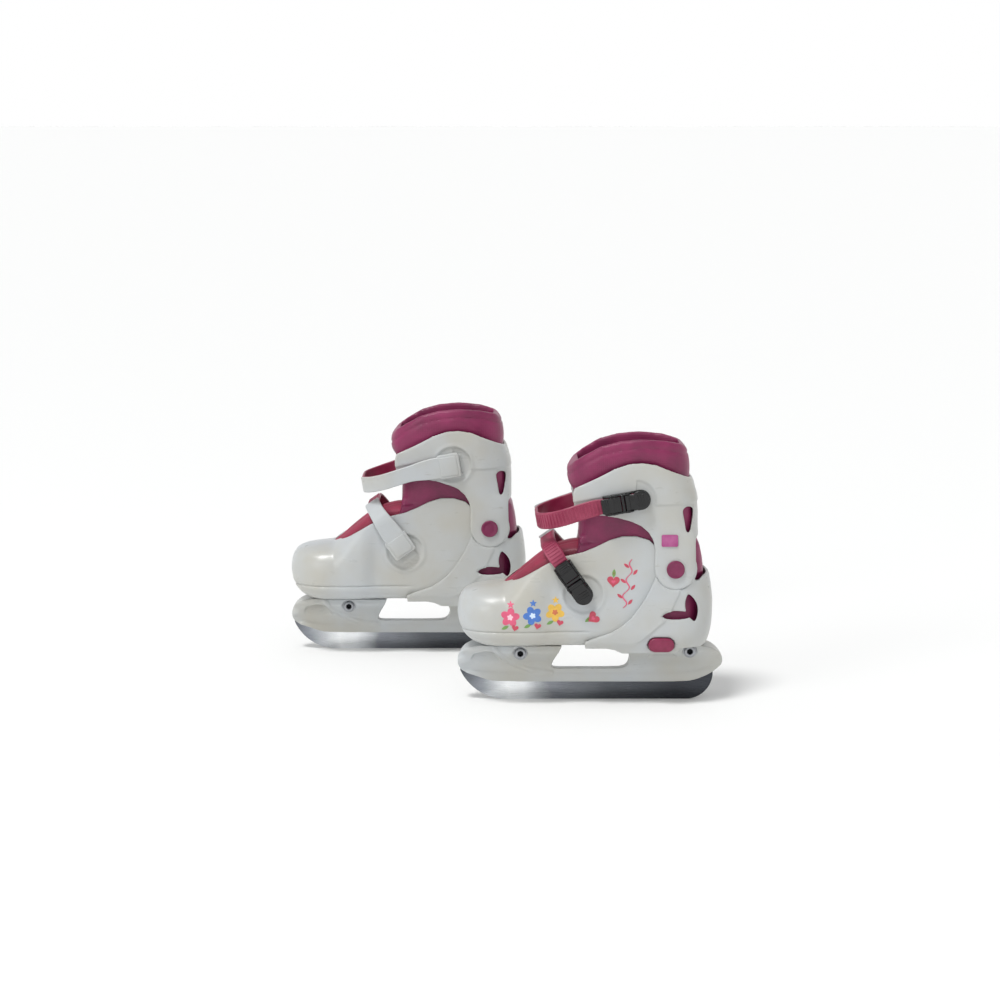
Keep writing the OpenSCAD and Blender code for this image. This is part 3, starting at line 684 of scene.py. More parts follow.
cuff_side = np.concatenate([
    [(-15.5, 202), (-17, 196), (-16.6, 186), (-15, 181.5), (-10, 179.4), (0, 178.2), (12, 177),
     (24, 175), (36, 171.6), (45, 167.4), (51.5, 161.5), (55.5, 154.5), (57.2, 147), (57, 138)],
    [(PIVOT[0] - 19 * math.cos(a), PIVOT[1] - 19 * math.sin(a)) for a in np.linspace(0, np.pi, 33)],
    [(94.6, 140), (94.4, 150), (94.6, 156), (97, 157.2), (104, 157.2), (104, 196), (97, 204),
     (90, 209), (80, 213.5), (69, 218), (57, 223), (45, 225), (33, 224), (20, 219.5), (6, 212)]])
cuff = keep(cuff_solid(0, 104, 229, -24), across(cuff_side))
cut(cuff, cuff_solid(WALL, 100, 235, -60))
teardrop = rounded([(81.5, 184.5), (92.5, 184.5), (91.4, 174), (89.2, 161), (85.6, 161),
                    (84, 172)], 3)
cut(cuff, across(teardrop))
moulded(cuff, GRAIN, 4)
UPPER_PAD = along(UPPER_AT, UPPER_SLOPE, 10)


def cuff_relief(x, y, z):
    above = 0.8 * ease(z - np.interp(x, [-20, 0, 60, 98], [179, 182, 187, 188]), -0.6, 0.6)
    seat = ease(np.hypot(x - UPPER_PAD[0], z - UPPER_PAD[1]), 16.5, 19)
    seat = np.where(x < UPPER_PAD[0], ease(np.abs(z - 189 - (x - 40) * 0.176), 9.5, 11.5), seat)
    recess = round_recess(x, z, UPPER_PAD, UPPER_SLOPE, 17.5, 0.9)
    return above * seat + np.where(y > 0, recess, 0)


relief(cuff, cuff_relief)
place(cuff, "cuff_skin", "ankle", WHITE_SHELL, ["cuff"])


# ---- padded liners
# Inside the shells sits a padded boot of satin-coated magenta fabric. Its collar swells above the cuff,
# and it shows at the instep and through the holes of the heel.
LINER_INSET = 4.3        # from the toe shell's outer face to the liner
liner_side = np.array(
    [(-96, 60.2), (-110, 66), (-116, 82), (-114, 95), (-101, 101), (-79, 103.5), (-60, 110),
     (-43, 118.5), (-25, 129), (-14, 140), (-11.5, 150), (-11, 170), (-13, 184), (-17.5, 200),
     (-21.5, 218.5), (-16, 225), (-7, 231), (8, 239.5), (26, 244.4), (45, 246), (66, 244.5),
     (82, 240.5), (87, 234), (89, 207), (93.5, 186), (94.2, 162), (95, 157), (98.5, 149),
     (101.5, 136), (103.3, 122), (103.4, 84), (101, 68), (95, 60.2)])
collar_fronts = [(120, -11), (150, -12), (170, -11.5), (184, -13.5), (200, -18), (219, -22), (248, -25)]
collar_backs = [(120, 103), (136, 101.5), (150, 98), (158, 94.6), (180, 93.2), (196, 90.5),
                (207, 88.7), (248, 86)]


def collar_ring(z, inset):
    front, back = flow(z, collar_fronts) + inset, flow(z, collar_backs) - inset
    a = np.linspace(0, 2 * np.pi, 80, endpoint=False)
    squareness = flow(z, [(150, 0.42), (188, 0.42), (215, 0.64)])
    x = (front + back) / 2 + (back - front) / 2 * bent(np.cos(a), squareness)
    y = (35 - inset) * bent(np.sin(a), squareness)
    return np.stack([x, y, np.full(80, z)], 1)


def foot_form(inset, floor, top):
    """The liner's outside, or with a larger inset the space for the foot."""
    tip = LINER_INSET + inset + 3.5
    form = keep(toe_solid(tip, 60), across([(-140, floor), (-140, 118), (-60, 132), (-20, 156),
                                            (90, 156), (90, floor)]))
    heel_part = loft([back_ring(z, 103.4 - inset, 34.7 - inset, 62, -20, 2.8)
                      for z in np.linspace(floor, 150, 20)])
    collar_part = loft([collar_ring(z, inset) for z in np.linspace(122, top, 40)])
    return add(form, heel_part, collar_part)


liner = keep(foot_form(0, 60.2, 247), across(liner_side))
foot_room = keep(foot_form(5.5, 65.5, 262), across(
    [(-120, 65.5), (-120, 92), (-79, 97), (-40, 109), (-14, 124), (-3, 140), (-3, 170),
     (-12, 215), (-12, 262), (79, 262), (81, 180), (88, 140), (98, 120), (98, 65.5)]))
cut(liner, foot_room)
moulded(liner, GRAIN * 1.5, 9)           # coarse and soft, and under 200,000 triangles


def liner_swell(x, y, z):
    """The collar swells above the cuff, with a seam sunk below its rim."""
    cuff_top = np.interp(x, [-15, 6, 33, 45, 57, 80, 90], [203, 213, 224.5, 226, 224, 214.5, 209])
    rim = np.interp(x, [-22, -7, 8, 26, 45, 66, 86], [218, 231, 239.5, 244, 246, 244.5, 239])
    share = np.clip((z - cuff_top + 3) / (rim - cuff_top + 3), 0, 1)
    seam = np.exp(-((rim - z - 8) / 1.3) ** 2)
    return 2.4 * np.sin(np.pi * share**0.8) - 0.9 * seam * (z > cuff_top)


relief(liner, liner_swell)


def satin_fabric(name, colour, painted_crease_shade, sheen_tint_and_painted_highlight, thread_mm, roughness):
    """A coated weave: fine threads, a broad satin sheen and soft creases. Its colour is darker in the
    crease hollows and lighter on their crests, as painted shade and painted sheen.

    The threads are drawn coarser than real ones, so that they show at this distance."""
    material = new_material(name, Sheen_Weight=0.12, Sheen_Roughness=0.4,
                            Sheen_Tint=linear(sheen_tint_and_painted_highlight))
    creases = noise(material, 26, 4)
    where = node(material, "ShaderNodeTexCoord").outputs["Object"]
    waves = [node(material, "ShaderNodeTexWave",
                  {"Vector": where, "Scale": 1 / (thread_mm * MM) / 6.283, "Distortion": 0.4},
                  bands_direction=axis).outputs["Fac"] for axis in ("X", "Z")]
    weave = node(material, "ShaderNodeMath", {0: waves[0], 1: waves[1]}, operation="MULTIPLY")
    height = node(material, "ShaderNodeMath", {0: weave.outputs[0], 1: creases, 2: 0.0},
                  operation="ADD")
    return finish(
        material,
        # the colour follows the creases: painted shade in their hollows, painted sheen on their crests
        Base_Color=ramp(material, creases, [(0.3, painted_crease_shade), (0.5, colour), (0.72, sheen_tint_and_painted_highlight)]),
        Roughness=spread(material, creases, 0.3, 0.7, roughness, roughness + 0.12),
        Normal=bump(material, height.outputs[0], 0.35, 0.25))


LINER_FABRIC = satin_fabric("satin_coated_polyester_magenta", "#7D1F4C", "#6C1B43", "#8B2656",
                            0.9, 0.36)
padding = place(liner, "padded_liner", None, LINER_FABRIC,
                ["liner_boot", "liner_collar"])
for side, obj in zip(SIDES, padding):
    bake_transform(obj)


# ---- tongues
# A padded crimson tongue covers the instep between the edges of the toe shell. It is crowned
# across, with a stitched channel along its middle, and dips under the toe cap in front.
tongue_tops = [(-84, 107.5), (-79, 111), (-72, 116.6), (-60, 127), (-42, 140.6), (-26, 148),
               (-12, 150.5), (-6, 148)]
tongue_halves = [(-84, 15), (-76, 17.5), (-60, 20), (-30, 25.5), (-6, 27)]


def tongue_ring(x):
    top, half = flow(x, tongue_tops), flow(x, tongue_halves)
    thick = flow(x, [(-84, 3.2), (-74, 6), (-20, 8.5), (-6, 4)])
    y = np.linspace(-1, 1, 33)
    crown = 5.5 * y**2 + 1.3 * np.exp(-((np.abs(y) - 0.36) / 0.05) ** 2)
    upper = top - crown - 2.2 * np.maximum(0, np.abs(y) - 0.8) * 5 * 0.6
    lower = top - 5.5 * y**2 - thick - 1.0 + 3.0 * np.maximum(0, np.abs(y) - 0.7)
    lower = np.minimum(lower, upper - 1.6)
    return np.concatenate([np.stack([np.full(33, x), y * half, upper], 1),
                           np.stack([np.full(33, x), y * half, lower], 1)[::-1]])


tongue = loft([tongue_ring(x) for x in np.linspace(-84, -6, 54)])
smooth = tongue.modifiers.new("smooth", "SMOOTH")
smooth.factor, smooth.iterations = 0.5, 3
evaluated(tongue)
TONGUE_FABRIC = satin_fabric("padded_nylon_crimson", "#8E2440", "#7C1E38", "#A03050", 1.1, 0.45)
for obj in place(tongue, "padded_tongue", "chassis", TONGUE_FABRIC, ["tongue"]):
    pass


# ---- toothed straps
# Each strap is a flexible crimson band. It leaves the ratchet buckle, goes round the front of
# the boot in a bulging loop and ends under a white cover on the inner side. Fine teeth cross it.
LOWER_LOOP = (40.5, 20.0, 4.0)           # reach ahead of the buckle, corner radius, inner end
UPPER_LOOP = (80.0, 30.0, 4.0)
STRAP_W, STRAP_T, STRAP_RISE = 13.6, 2.3, 2.05
TAIL_U = 14.1                            # from a buckle's middle to the centre of its round end
TOOTH_PITCH = 3.1


def loop_path(loop, face, lift, step=1.5):
    """Points (u, y) along a strap's loop, from the buckle round the front to the inner side."""
    reach, corner, end = loop[0] + lift, loop[1] + lift, loop[2]
    half = face + STRAP_RISE + lift
    a = np.linspace(0, np.pi / 2, 24)
    start = np.array([[TAIL_U - 5.2, -half]])
    first = np.stack([-reach + corner - corner * np.sin(a), -half + corner - corner * np.cos(a)], 1)
    path = np.concatenate([start, first, (first * (1, -1))[::-1], [[end, half]]])
    lengths = np.concatenate([[0], np.cumsum(np.hypot(*np.diff(path, axis=0).T))])
    count = int(lengths[-1] / step)
    at = np.linspace(0, lengths[-1], count + 1)
    return np.stack([np.interp(at, lengths, path[:, 0]), np.interp(at, lengths, path[:, 1])], 1)


def sag(u, loop, drop):
    """How far the loop's front hangs below its buckle's line."""
    return -drop * ease(-u, 20, loop[0])


def band(path, widths, thick, drops):
    """A flat band that stands along v, its inner face on the path, with rounded edges."""
    tangent = np.gradient(path, axis=0)
    tangent /= np.hypot(*tangent.T)[:, None]
    normal = np.stack([-tangent[:, 1], tangent[:, 0]], 1)
    outward = normal * np.sign((normal * (path - (20, 0))).sum(1))[:, None]
    rings = []
    for point, out, width, drop in zip(path, outward, widths, drops):
        half, r = width / 2, min(0.8, thick * 0.35)
        profile = [(0, -half + r), (r, -half), (thick - r, -half), (thick, -half + r),
                   (thick, half - r), (thick - r, half), (r, half), (0, half - r)]
        rings.append([(point[0] + out[0] * t, point[1] + out[1] * t, v + drop) for t, v in profile])
    return loft(rings)


def lay_out(obj, at, slope):
    """Turns a draft in a buckle's (u, y, v) into the skate's (x, y, z)."""
    def swung_out(points):
        x, z = along(at, slope, points[:, 0], points[:, 2])
        return np.stack([x, points[:, 1], z], 1)

    reshape(obj.data, swung_out)
    return obj


def copies_group():
    """Geometry Nodes: one copy of an item at each of so many places along a curve."""
    group = bpy.data.node_groups.new("copies_along_a_line", "GeometryNodeTree")
    keys = {}
    for name, kind in (("Line", "Geometry"), ("Item", "Object"), ("Count", "Int"),
                       ("Size Variation", "Float"), ("Seed", "Int"), ("Material", "Material")):
        keys[name] = group.interface.new_socket(
            name, in_out="INPUT", socket_type="NodeSocket" + kind).identifier
    group.interface.new_socket("Geometry", in_out="OUTPUT", socket_type="NodeSocketGeometry")
    given = node(group, "NodeGroupInput").outputs
    places = node(group, "GeometryNodeCurveToPoints",
                  {"Curve": given["Line"], "Count": given["Count"]}).outputs
    item = node(group, "GeometryNodeObjectInfo", {"Object": given["Item"]}).outputs["Geometry"]
    least, most = [node(group, "ShaderNodeMath", {0: 1.0, 1: given["Size Variation"]},
                        operation=kind).outputs[0] for kind in ("SUBTRACT", "ADD")]
    size = node(group, "FunctionNodeRandomValue", {2: least, 3: most, "Seed": given["Seed"]})
    copies = node(group, "GeometryNodeInstanceOnPoints",
                  {"Points": places["Points"], "Rotation": places["Rotation"],
                   "Instance": item, "Scale": size.outputs[1]})
    real = node(group, "GeometryNodeRealizeInstances", {0: copies.outputs[0]})
    paint = node(group, "GeometryNodeSetMaterial",
                 {"Geometry": real.outputs[0], "Material": given["Material"]})
    node(group, "NodeGroupOutput", {0: paint.outputs[0]})
    return group, keys


COPIES, COPIES_INPUTS = copies_group()


def copies_along(points, item, count, material, variation=0.0, seed=7):
    """Plain mesh of the item's copies, evenly spaced along a line through points."""
    curve = bpy.data.curves.new("line", "CURVE")
    curve.dimensions = "3D"
    curve.twist_mode = "Z_UP"
    spline = curve.splines.new("POLY")
    spline.points.add(len(points) - 1)
    for target, point in zip(spline.points, points):
        target.co = (*point, 1)
    line = in_scene("line", curve)
    modifier = line.modifiers.new("copies", "NODES")
    modifier.node_group = COPIES
    for name, value in (("Item", item), ("Count", count), ("Size Variation", variation),
                        ("Seed", seed), ("Material", material)):
        modifier[COPIES_INPUTS[name]] = value
    made = in_scene("draft", plain_mesh(line))
    bpy.data.objects.remove(line)
    bpy.data.objects.remove(item)
    return made


def joined(*drafts):
    """One draft from several, each a closed solid of its own."""
    mesh = bmesh.new()
    for draft in drafts:
        mesh.from_mesh(draft.data)
    mesh.to_mesh(drafts[0].data)
    mesh.free()
    for draft in drafts[1:]:
        bpy.data.objects.remove(draft)
    return drafts[0]


def flexible_plastic(name, colour, worn, roughness):
    """A soft polyurethane band: a dull gloss, paler where it has been bent and rubbed."""
    material = new_material(name, Subsurface_Weight=0.06,
                            Subsurface_Radius=(0.004, 0.0015, 0.0015))
    wear = noise(material, 14, 5)
    return finish(
        material, Base_Color=ramp(material, wear, [(0.4, colour), (0.7, worn)]),
        Roughness=spread(material, wear, 0.3, 0.7, roughness, roughness + 0.15),
        Normal=bump(material, noise(material, 0.8, 3), 0.12, 0.2))


STRAP_PLASTIC = flexible_plastic("flexible_polyurethane_crimson", "#8A2345", "#9C3C58", 0.34)
BUCKLES = {"upper": (UPPER_AT, UPPER_SLOPE, OUTER_FACE, UPPER_LOOP, "ankle", 6.0),
           "lower": (LOWER_AT, LOWER_SLOPE, TOE_FACE, LOWER_LOOP, "toe", 0.0)}
for which, (at, slope, face, loop, body, drop) in BUCKLES.items():
    path = loop_path(loop, face, 0)
    widths = STRAP_W + 1.6 * ease(-path[:, 0], 20, 30)
    strap = band(path, widths, STRAP_T, sag(path[:, 0], loop, drop))
    ridge_path = loop_path(loop, face, STRAP_T)
    bare = ridge_path[(ridge_path[:, 0] < -22) & (ridge_path[:, 1] < 20)]
    line = [(u, y, sag(u, loop, drop)) for u, y in bare]
    length = np.hypot(*np.diff(bare, axis=0).T).sum()
    tooth = upright(rounded([(-0.75, 0), (-0.5, 0.8), (0.5, 0.8), (0.75, 0), (0.5, -0.8),
                             (-0.5, -0.8)], 1), -5.6, 5.6)
    reshape(tooth.data, lambda points: points[:, [0, 2, 1]])
    tooth.data.flip_normals()
    teeth = copies_along(line, tooth, int(length / TOOTH_PITCH), STRAP_PLASTIC)
    strap = lay_out(joined(strap, teeth), at, slope)
    place(strap, which + "_toothed_strap", body, STRAP_PLASTIC,
          [which + "_strap"])


# ---- white strap covers
# On the inner side each strap is hidden by a white band that ends in a rectangular pad, seated
# in a round recess of the shell.
def bevelled(obj, width, segments=3):
    bevel = obj.modifiers.new("bevel", "BEVEL")
    bevel.width, bevel.segments, bevel.limit_method = width, segments, "ANGLE"
    return evaluated(obj)


for which, (at, slope, face, loop, body, drop) in BUCKLES.items():
    path = loop_path(loop, face, STRAP_T + 0.1)
    path = path[(path[:, 1] > 22.5)]
    widths = 15.6 + 5.4 * ease(path[:, 0], -38, -8)
    cover = band(path, widths, 2.2, sag(path[:, 0], loop, drop))
    pad = bevelled(across(soft_box(-5, -12, 17, 12, 2.6), face + 0.1, face + 6.4), 1.0)
    plate = bevelled(across(soft_box(-3, -9.4, 14.4, 9.4, 1.6), face + 5.6, face + 7.2), 0.6)
    place(lay_out(joined(cover, pad, plate), at, slope), which + "_cover", body, WHITE_SHELL,
          [which + "_strap_cover"])


# ---- ratchet buckles
# Each buckle is glass-filled black nylon with a wet gloss: a channel riveted to the shell, a
# ratchet lever with a round end, and a release tab in front, both with finger ridges.
def glossy_plastic(name, colour, light, roughness):
    material = new_material(name)
    marks = noise(material, 8, 4)
    return finish(
        material, Base_Color=ramp(material, marks, [(0.35, colour), (0.7, light)]),
        Roughness=spread(material, marks, 0.3, 0.7, roughness, roughness + 0.12),
        Normal=bump(material, noise(material, 2.5, 2), 0.05, 0.05))


def slab(outline, w0, w1, bevel):
    """A plate drawn in a buckle's (u, v), between two heights over its mounting face."""
    return bevelled(across(outline, -w1, -w0), bevel)


def cheek(outline, v0, v1, bevel):
    """A rib drawn in a buckle's (u, w), between two places across it."""
    return bevelled(upright([(u, -w) for u, w in outline], v0, v1), bevel)


def round_ended(start, middle, end, half, radius):
    """An outline from start to a round end, wider beyond the middle."""
    a = np.linspace(-np.pi / 2, np.pi / 2, 25)
    tip = [(end + radius * math.cos(t), radius * math.sin(t)) for t in a]
    return [(start, -half), (middle, -half), (middle + 1.5, -radius)] + tip + [
        (middle + 1.5, radius), (middle, half), (start, half)]


def barrel(u, radius):
    return upright(circle(u, -PIN_W, radius, 32), -6.9, 6.9)


def ridges(places, low, high):
    return [slab(box(u - 0.55, -5.4, u + 0.55, 5.4), low, high, 0.3) for u in places]


def moved(draft, x, y, z, inner=False):
    """Shifts a draft; inner turns it over to the skate's inner side."""
    reshape(draft.data, lambda points: (points + (x, y, z)) * (1, -1 if inner else 1, 1))
    if inner:
        draft.data.flip_normals()
    return draft


BLACK_NYLON = glossy_plastic("black_glass_filled_nylon", "#060607", "#0E0F11", 0.12)
PIN_W, TAB_PIN_U, LEVER_PIN_U = 7.0, -12.0, 2.0
cheek_outline = [(-20, 0.3), (-20, 5), (-18.4, 7.4), (-14.5, 9), (-9, 9), (-6, 7.8), (-2.5, 7.8),
                 (-0.5, 9), (4, 9), (6.4, 6.4), (6.4, 0.3)]
for which, (at, slope, face, loop, body, drop) in BUCKLES.items():
    base = slab(round_ended(-20, 8, TAIL_U, 9, 9), 0, 2, 0.5)
    bridge = slab(box(-3.6, -7.4, -0.9, 7.4), 6.1, 7.9, 0.4)
    add(base, cheek(cheek_outline, 7.25, 9, 0.35), cheek(cheek_outline, -9, -7.25, 0.35), bridge)
    lever = slab(round_ended(LEVER_PIN_U, 8.4, TAIL_U, 6.9, 8.6), 5.7, 8.5, 0.9)
    add(lever, barrel(LEVER_PIN_U, 2.55), *ridges((11.5, 14, 16.5), 8.2, 9.2))
    tab = slab([(-22, -6.2), (-21, -6.9), (-4.2, -6.9), (-4.2, 6.9), (-21, 6.9), (-22, 6.2)],
               7.4, 9.2, 0.5)
    add(tab, barrel(TAB_PIN_U, 2.5), *ridges((-20, -18, -16), 9.0, 9.9))
    for draft, u, part, rides, cad in (
            (base, None, "buckle_channel", body, "buckle_base"),
            (lever, LEVER_PIN_U, "ratchet_lever", which + "_lever_body", "lever"),
            (tab, TAB_PIN_U, "release_tab", which + "_tab_body", "tab")):
        for pin in ([u] if u else [TAB_PIN_U, LEVER_PIN_U]):
            cut(draft, upright(circle(pin, -PIN_W, 1.05, 24), -20, 20))
        place(lay_out(moved(draft, 0, -face, 0), at, slope), which + "_" + part, rides, BLACK_NYLON,
              [which + "_" + cad])


# ---- pivot caps, buttons, labels
# Domed magenta caps hide the ankle rivets. A crimson oval button sets the size, and a small
# plain pink plate sits above the outer cap.
def turned(profile):
    """A round piece turned about y, from (height, radius) pairs. Its height runs to -y."""
    return loft([np.insert(circle(0, 0, r, 56), 1, -h, axis=1) for h, r in profile])


CAP_PLASTIC = glossy_plastic("magenta_polypropylene", "#6E1A42", "#7B244E", 0.28)
BUTTON_PLASTIC = glossy_plastic("crimson_polypropylene", "#7A1D40", "#88294C", 0.28)
LABEL_PLASTIC = glossy_plastic("pink_acrylic_plate", "#A0427C", "#AE5A8C", 0.15)
cap_profile = [(0, 8.2), (1.3, 8.25), (1.8, 8.0), (2.1, 7.4), (2.1, 6.7), (1.85, 6.3),
               (2.0, 4), (2.05, 0.1)]
caps = joined(*[moved(turned(cap_profile), PIVOT[0], -42.05, PIVOT[1], inner)
                for inner in (False, True)])
place(caps, "pivot_cap_pair", "chassis", CAP_PLASTIC, ["pivot_caps"])

button_rings = [(37.9, 6.35), (42.5, 6.35), (43.1, 6.05), (43.5, 5.4), (43.7, 4.2), (43.8, 0.4)]
button = loft([np.insert(stadium(*BUTTON_AT, 5.5, r), 1, -y, axis=1) for y, r in button_rings])
place(button, "domed_button", "size_button_body", BUTTON_PLASTIC,
      ["size_button"])

label = bevelled(across(soft_box(63, 149, 78, 160, 1.4), -42.9, -41.6), 0.35)
place(label, "plain_label", "ankle", LABEL_PLASTIC, ["label_plate"])


# ---- mounting bolts
# Two zinc-plated bolts with button heads and hexagon sockets hold each boot to its blade. Sleeve
# nuts of the same shape close them on the inner side.
# the dark first stop is painted shade, which darkens the sockets of the bolt heads and sleeve nuts
ZINC_PAINTED_SOCKET_SHADE = steel_with_painted_light("dulled_zinc_plate_painted_socket_shade", [
    (0.15, "#17181A"), (0.45, "#7A7C80"), (0.9, "#A6A8AC")], 0.3, 0.3)


def bolt_head():
    head = turned([(0, 6.2), (0.7, 6.2), (0.8, 5.4), (2.4, 5.4), (3.3, 4.9), (3.8, 4.1),
                   (4.0, 3.2), (4.0, 0.1)])
    cut(head, across(circle(0, 0, 2.7, 6), -6, -1.2))
    # painted shade in the socket: points inside it take the ramp's dark end, and the rim takes its
    # light end
    away = np.array([math.hypot(v.co.x, v.co.z) for v in head.data.vertices])
    shade = head.data.attributes.new("along", "FLOAT", "POINT")
    shade.data.foreach_set("value", 0.8 * ease(away, 2.75, 3.1))
    reshape(head.data, lambda points: points[:, [1, 0, 2]] * (-1, 1, 1))
    return head


bolt_line = [(x, -BOLT_SEAT, z) for x, z in BOLTS]
for part, inner, cad in (("button_bolts", False, "mount_bolts"), ("sleeve_nuts", True, "mount_nuts")):
    heads = copies_along(bolt_line, bolt_head(), 2, ZINC_PAINTED_SOCKET_SHADE)
    place(moved(heads, 0, 0, 0, inner), part, "chassis", ZINC_PAINTED_SOCKET_SHADE, [cad])


# ---- printed decorations
# Small prints brighten the toe's outer side: three flowers in pink, blue and yellow, hearts
# with leaves, and a waving vine. The ink lies on the plastic as a thin raised film.
def outline_points(kind):
    a = np.linspace(0, 2 * np.pi, 60, endpoint=False)
    if kind == "heart":
        x = 16 * np.sin(a) ** 3
        z = 13 * np.cos(a) - 5 * np.cos(2 * a) - 2 * np.cos(3 * a) - np.cos(4 * a)
        return np.stack([x, z + 2], 1) / 15
    if kind == "leaf":
        return np.stack([np.cos(a), 0.42 * np.sin(a) * np.abs(np.sin(a))], 1)
    if kind == "flower":
        radius = 0.62 + 0.38 * np.abs(np.cos(2.5 * a))
    else:                                # a star
        radius = 0.42 + 0.58 * np.abs(((a * 5 / np.pi) % 2) - 1) ** 1.3
    return np.stack([radius * np.cos(a), radius * np.sin(a)], 1)


def on_toe(x, z, lift=0.12):
    """The point of the toe shell's outer face beside (x, z), lifted off it a little."""
    hit, normal, _, _ = toe_surface.ray_cast(Vector((x, -80, z)), Vector((0, 1, 0)))
    return hit + normal * lift


def printed(kind, x, z, size, turn, ink, heart_ink):
    """A film in two inks, the inner one filling its middle."""
    outline = np.stack(swung(*(outline_points(kind) * size).T, turn), 1)
    shares = (0.3, 0.34, 0.55, 0.78, 1.0)
    verts = [on_toe(x, z)] + [on_toe(x + u * k, z + v * k) for k in shares for u, v in outline]
    n = len(outline)
    faces = [(0, 1 + i, 1 + (i + 1) % n) for i in range(n)]
    faces += [(1 + r * n + i, 1 + (r + 1) * n + i, 1 + (r + 1) * n + (i + 1) % n,
               1 + r * n + (i + 1) % n) for r in range(len(shares) - 1) for i in range(n)]
    inks = [heart_ink] * (1 + n) + [ink] * (n * (len(shares) - 1))
    return film(verts, faces, inks)


def film(verts, faces, inks):
    obj = new_object("draft", verts, faces)
    colours = obj.data.color_attributes.new("ink", "FLOAT_COLOR", "POINT")
    colours.data.foreach_set("color", np.array([linear(ink) for ink in inks]).ravel())
    solid = obj.modifiers.new("film", "SOLIDIFY")
    solid.thickness, solid.offset = 0.2, -1
    return evaluated(obj)


def vine(start, end, waves, reach, width, ink):
    """A waving line of ink from one point (x, z) to another."""
    count = 40 * waves
    t = np.linspace(0, 1, count)[:, None]
    turn = 2 * np.pi * waves * t
    path = np.array(start) * (1 - t) + np.array(end) * t
    path[:, :1] += reach * (1 - 0.35 * t) * np.sin(turn)
    across_it = np.gradient(path, axis=0)[:, ::-1] * (1, -1)
    across_it /= np.hypot(*across_it.T)[:, None]
    halves = width / 2 * (0.45 + 0.55 * np.abs(np.sin(turn / 2)))
    verts = [on_toe(*p) for side in (-1, 1) for p in path + side * halves * across_it]
    faces = [(i, i + 1, count + 1 + i, count + i) for i in range(count - 1)]
    return film(verts, faces, [ink] * len(verts))


PINK, RED, BLUE = "#D8436F", "#C22A4A", "#2F6FC4"
YELLOW, GREEN, BROWN = "#E3B325", "#6E9A4A", "#8A5A34"
prints = []
for x, z, turn, ink, middle in ((-74.5, 84, 10, PINK, "#F4C6D2"), (-54, 85.5, 40, BLUE, "#CFE2F6"),
                                (-33.5, 88, -15, YELLOW, "#C9622C")):
    prints += [printed("flower", x, z, 8.8, turn, ink, middle),
               printed("leaf", x - 4.5, z - 9.4, 3.6, 25, GREEN, GREEN),
               printed("heart", x + 4.4, z - 10, 2.9, -14, RED, RED),
               printed("star", x + 0.5, z + 11.4, 3.4, 90, ink, ink)]
for x, z, turn in ((1, 82.5, -52), (19.5, 116, -4)):
    prints += [printed("heart", x, z, 5.4, turn, RED, PINK),
               printed("leaf", x - 6.4 * math.cos(math.radians(turn + 90)) + 1,
                       z + 8.0 * abs(math.cos(math.radians(turn))) - 6 * (turn < -10), 4.0,
                       turn + 90, GREEN, BROWN)]
prints.append(vine((28.5, 92), (36.5, 137), 3, 2.6, 1.3, PINK))
prints += [printed("leaf", x, z, 3.2, turn, RED, RED) for x, z, turn in (
    (35, 97.5, 50), (25.5, 103, 140), (37.5, 111, 50), (28.5, 117, 140), (39.5, 125, 50),
    (31.5, 131, 140))]
INK = new_material("raised_printing_ink")
ink_colour = node(INK, "ShaderNodeAttribute", attribute_name="ink").outputs["Color"]
faded = node(INK, "ShaderNodeHueSaturation",
             {"Color": ink_colour, "Saturation": 0.92,
              "Value": spread(INK, noise(INK, 5, 4), 0.3, 0.7, 0.86, 1.05)})
finish(INK, Base_Color=faded.outputs["Color"],
       Roughness=spread(INK, noise(INK, 3, 4), 0.3, 0.7, 0.3, 0.5))
place(joined(*prints), "printed_prints", "toe", INK)


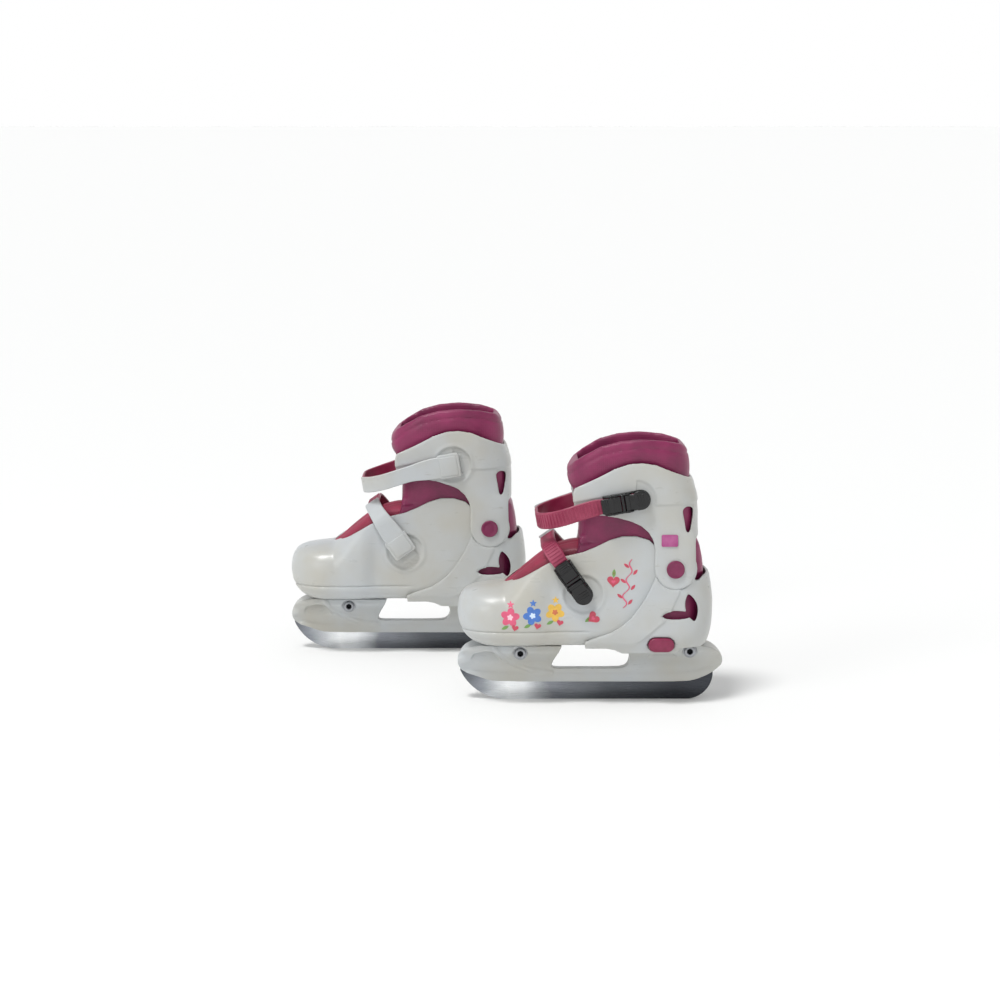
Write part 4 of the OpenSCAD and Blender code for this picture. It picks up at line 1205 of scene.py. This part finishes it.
# ---- pieces kept from the frame
# The insole, the pins and the rivets keep their engineered shape, and take their materials.
INSOLE = satin_fabric("brushed_insole_fabric", "#5A5A60", "#4C4C52", "#6A6A70", 0.8, 0.7)
for side in SIDES:
    for node_name, material in (("insole", INSOLE), ("pivot_rivets", ZINC_PAINTED_SOCKET_SHADE), ("upper_rivets", ZINC_PAINTED_SOCKET_SHADE),
                                ("lower_rivets", ZINC_PAINTED_SOCKET_SHADE), ("upper_buckle_pins", ZINC_PAINTED_SOCKET_SHADE),
                                ("lower_buckle_pins", ZINC_PAINTED_SOCKET_SHADE)):
        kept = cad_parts[side + "_" + node_name]
        kept.data.materials.clear()
        kept.data.materials.append(material)


# ---- camera, floor and light
# A long lens looks at the outer side of the left skate from a little above, with the right
# skate beyond it. Two soft lights and a pale room light the pair on a plain pale floor.
DISTANCE = 2.8           # from the camera to the left skate, in metres
ELEVATION = 8.0          # degrees above the horizon
FIELD = 0.92             # width of the view at the left skate, in metres

left_x, left_y, _ = skate_axes("left")
aim = Vector((left_x - 0.0837, left_y, 0.186))
lift = math.radians(ELEVATION)
eye = aim + DISTANCE * Vector((0, -math.cos(lift), math.sin(lift)))
camera_data = bpy.data.cameras.new("camera")
camera_data.sensor_width = 36
camera_data.lens = 36 * DISTANCE / FIELD
camera_data.clip_end = 50
camera = in_scene("camera", camera_data)
camera.location = eye
camera.rotation_euler = (aim - eye).to_track_quat("-Z", "Y").to_euler()
scene.camera = camera

floor = new_object("floor", [(-30, -30, 0), (30, -30, 0), (30, 30, 0), (-30, 30, 0)],
                   [(0, 1, 2, 3)])
floor.data.materials.append(new_material(
    "matt_white_paper", Base_Color=linear("#F6F6F5"), Roughness=0.9, Specular_IOR_Level=0.15))


def add_light(name, kind, place_at, power, **settings):
    data = bpy.data.lights.new(name, kind)
    data.energy = power
    for key, value in settings.items():
        setattr(data, key, value)
    light = in_scene(name, data)
    light.location = place_at
    to_pair = Vector((0, 0, 0.12)) - light.location
    light.rotation_euler = to_pair.to_track_quat("-Z", "Y").to_euler()


add_light("overhead", "SUN", (-0.9, -1.1, 3.0), 1.7, angle=math.radians(14))
add_light("front_panel", "AREA", (-1.6, -2.0, 1.3), 9, shape="RECTANGLE", size=0.9, size_y=0.6)

world = bpy.data.worlds.new("pale_room")
scene.world = world
world.use_nodes = True
room = node(world, "ShaderNodeTexCoord").outputs["Generated"]
height = node(world, "ShaderNodeSeparateXYZ", {0: room}).outputs["Z"]
shade = ramp(world, height, [(0.04, "#FFFFFF"), (0.5, "#C3C4C5")])
world.node_tree.links.new(shade, world.node_tree.nodes["Background"].inputs["Color"])
scene.view_settings.view_transform = "Standard"
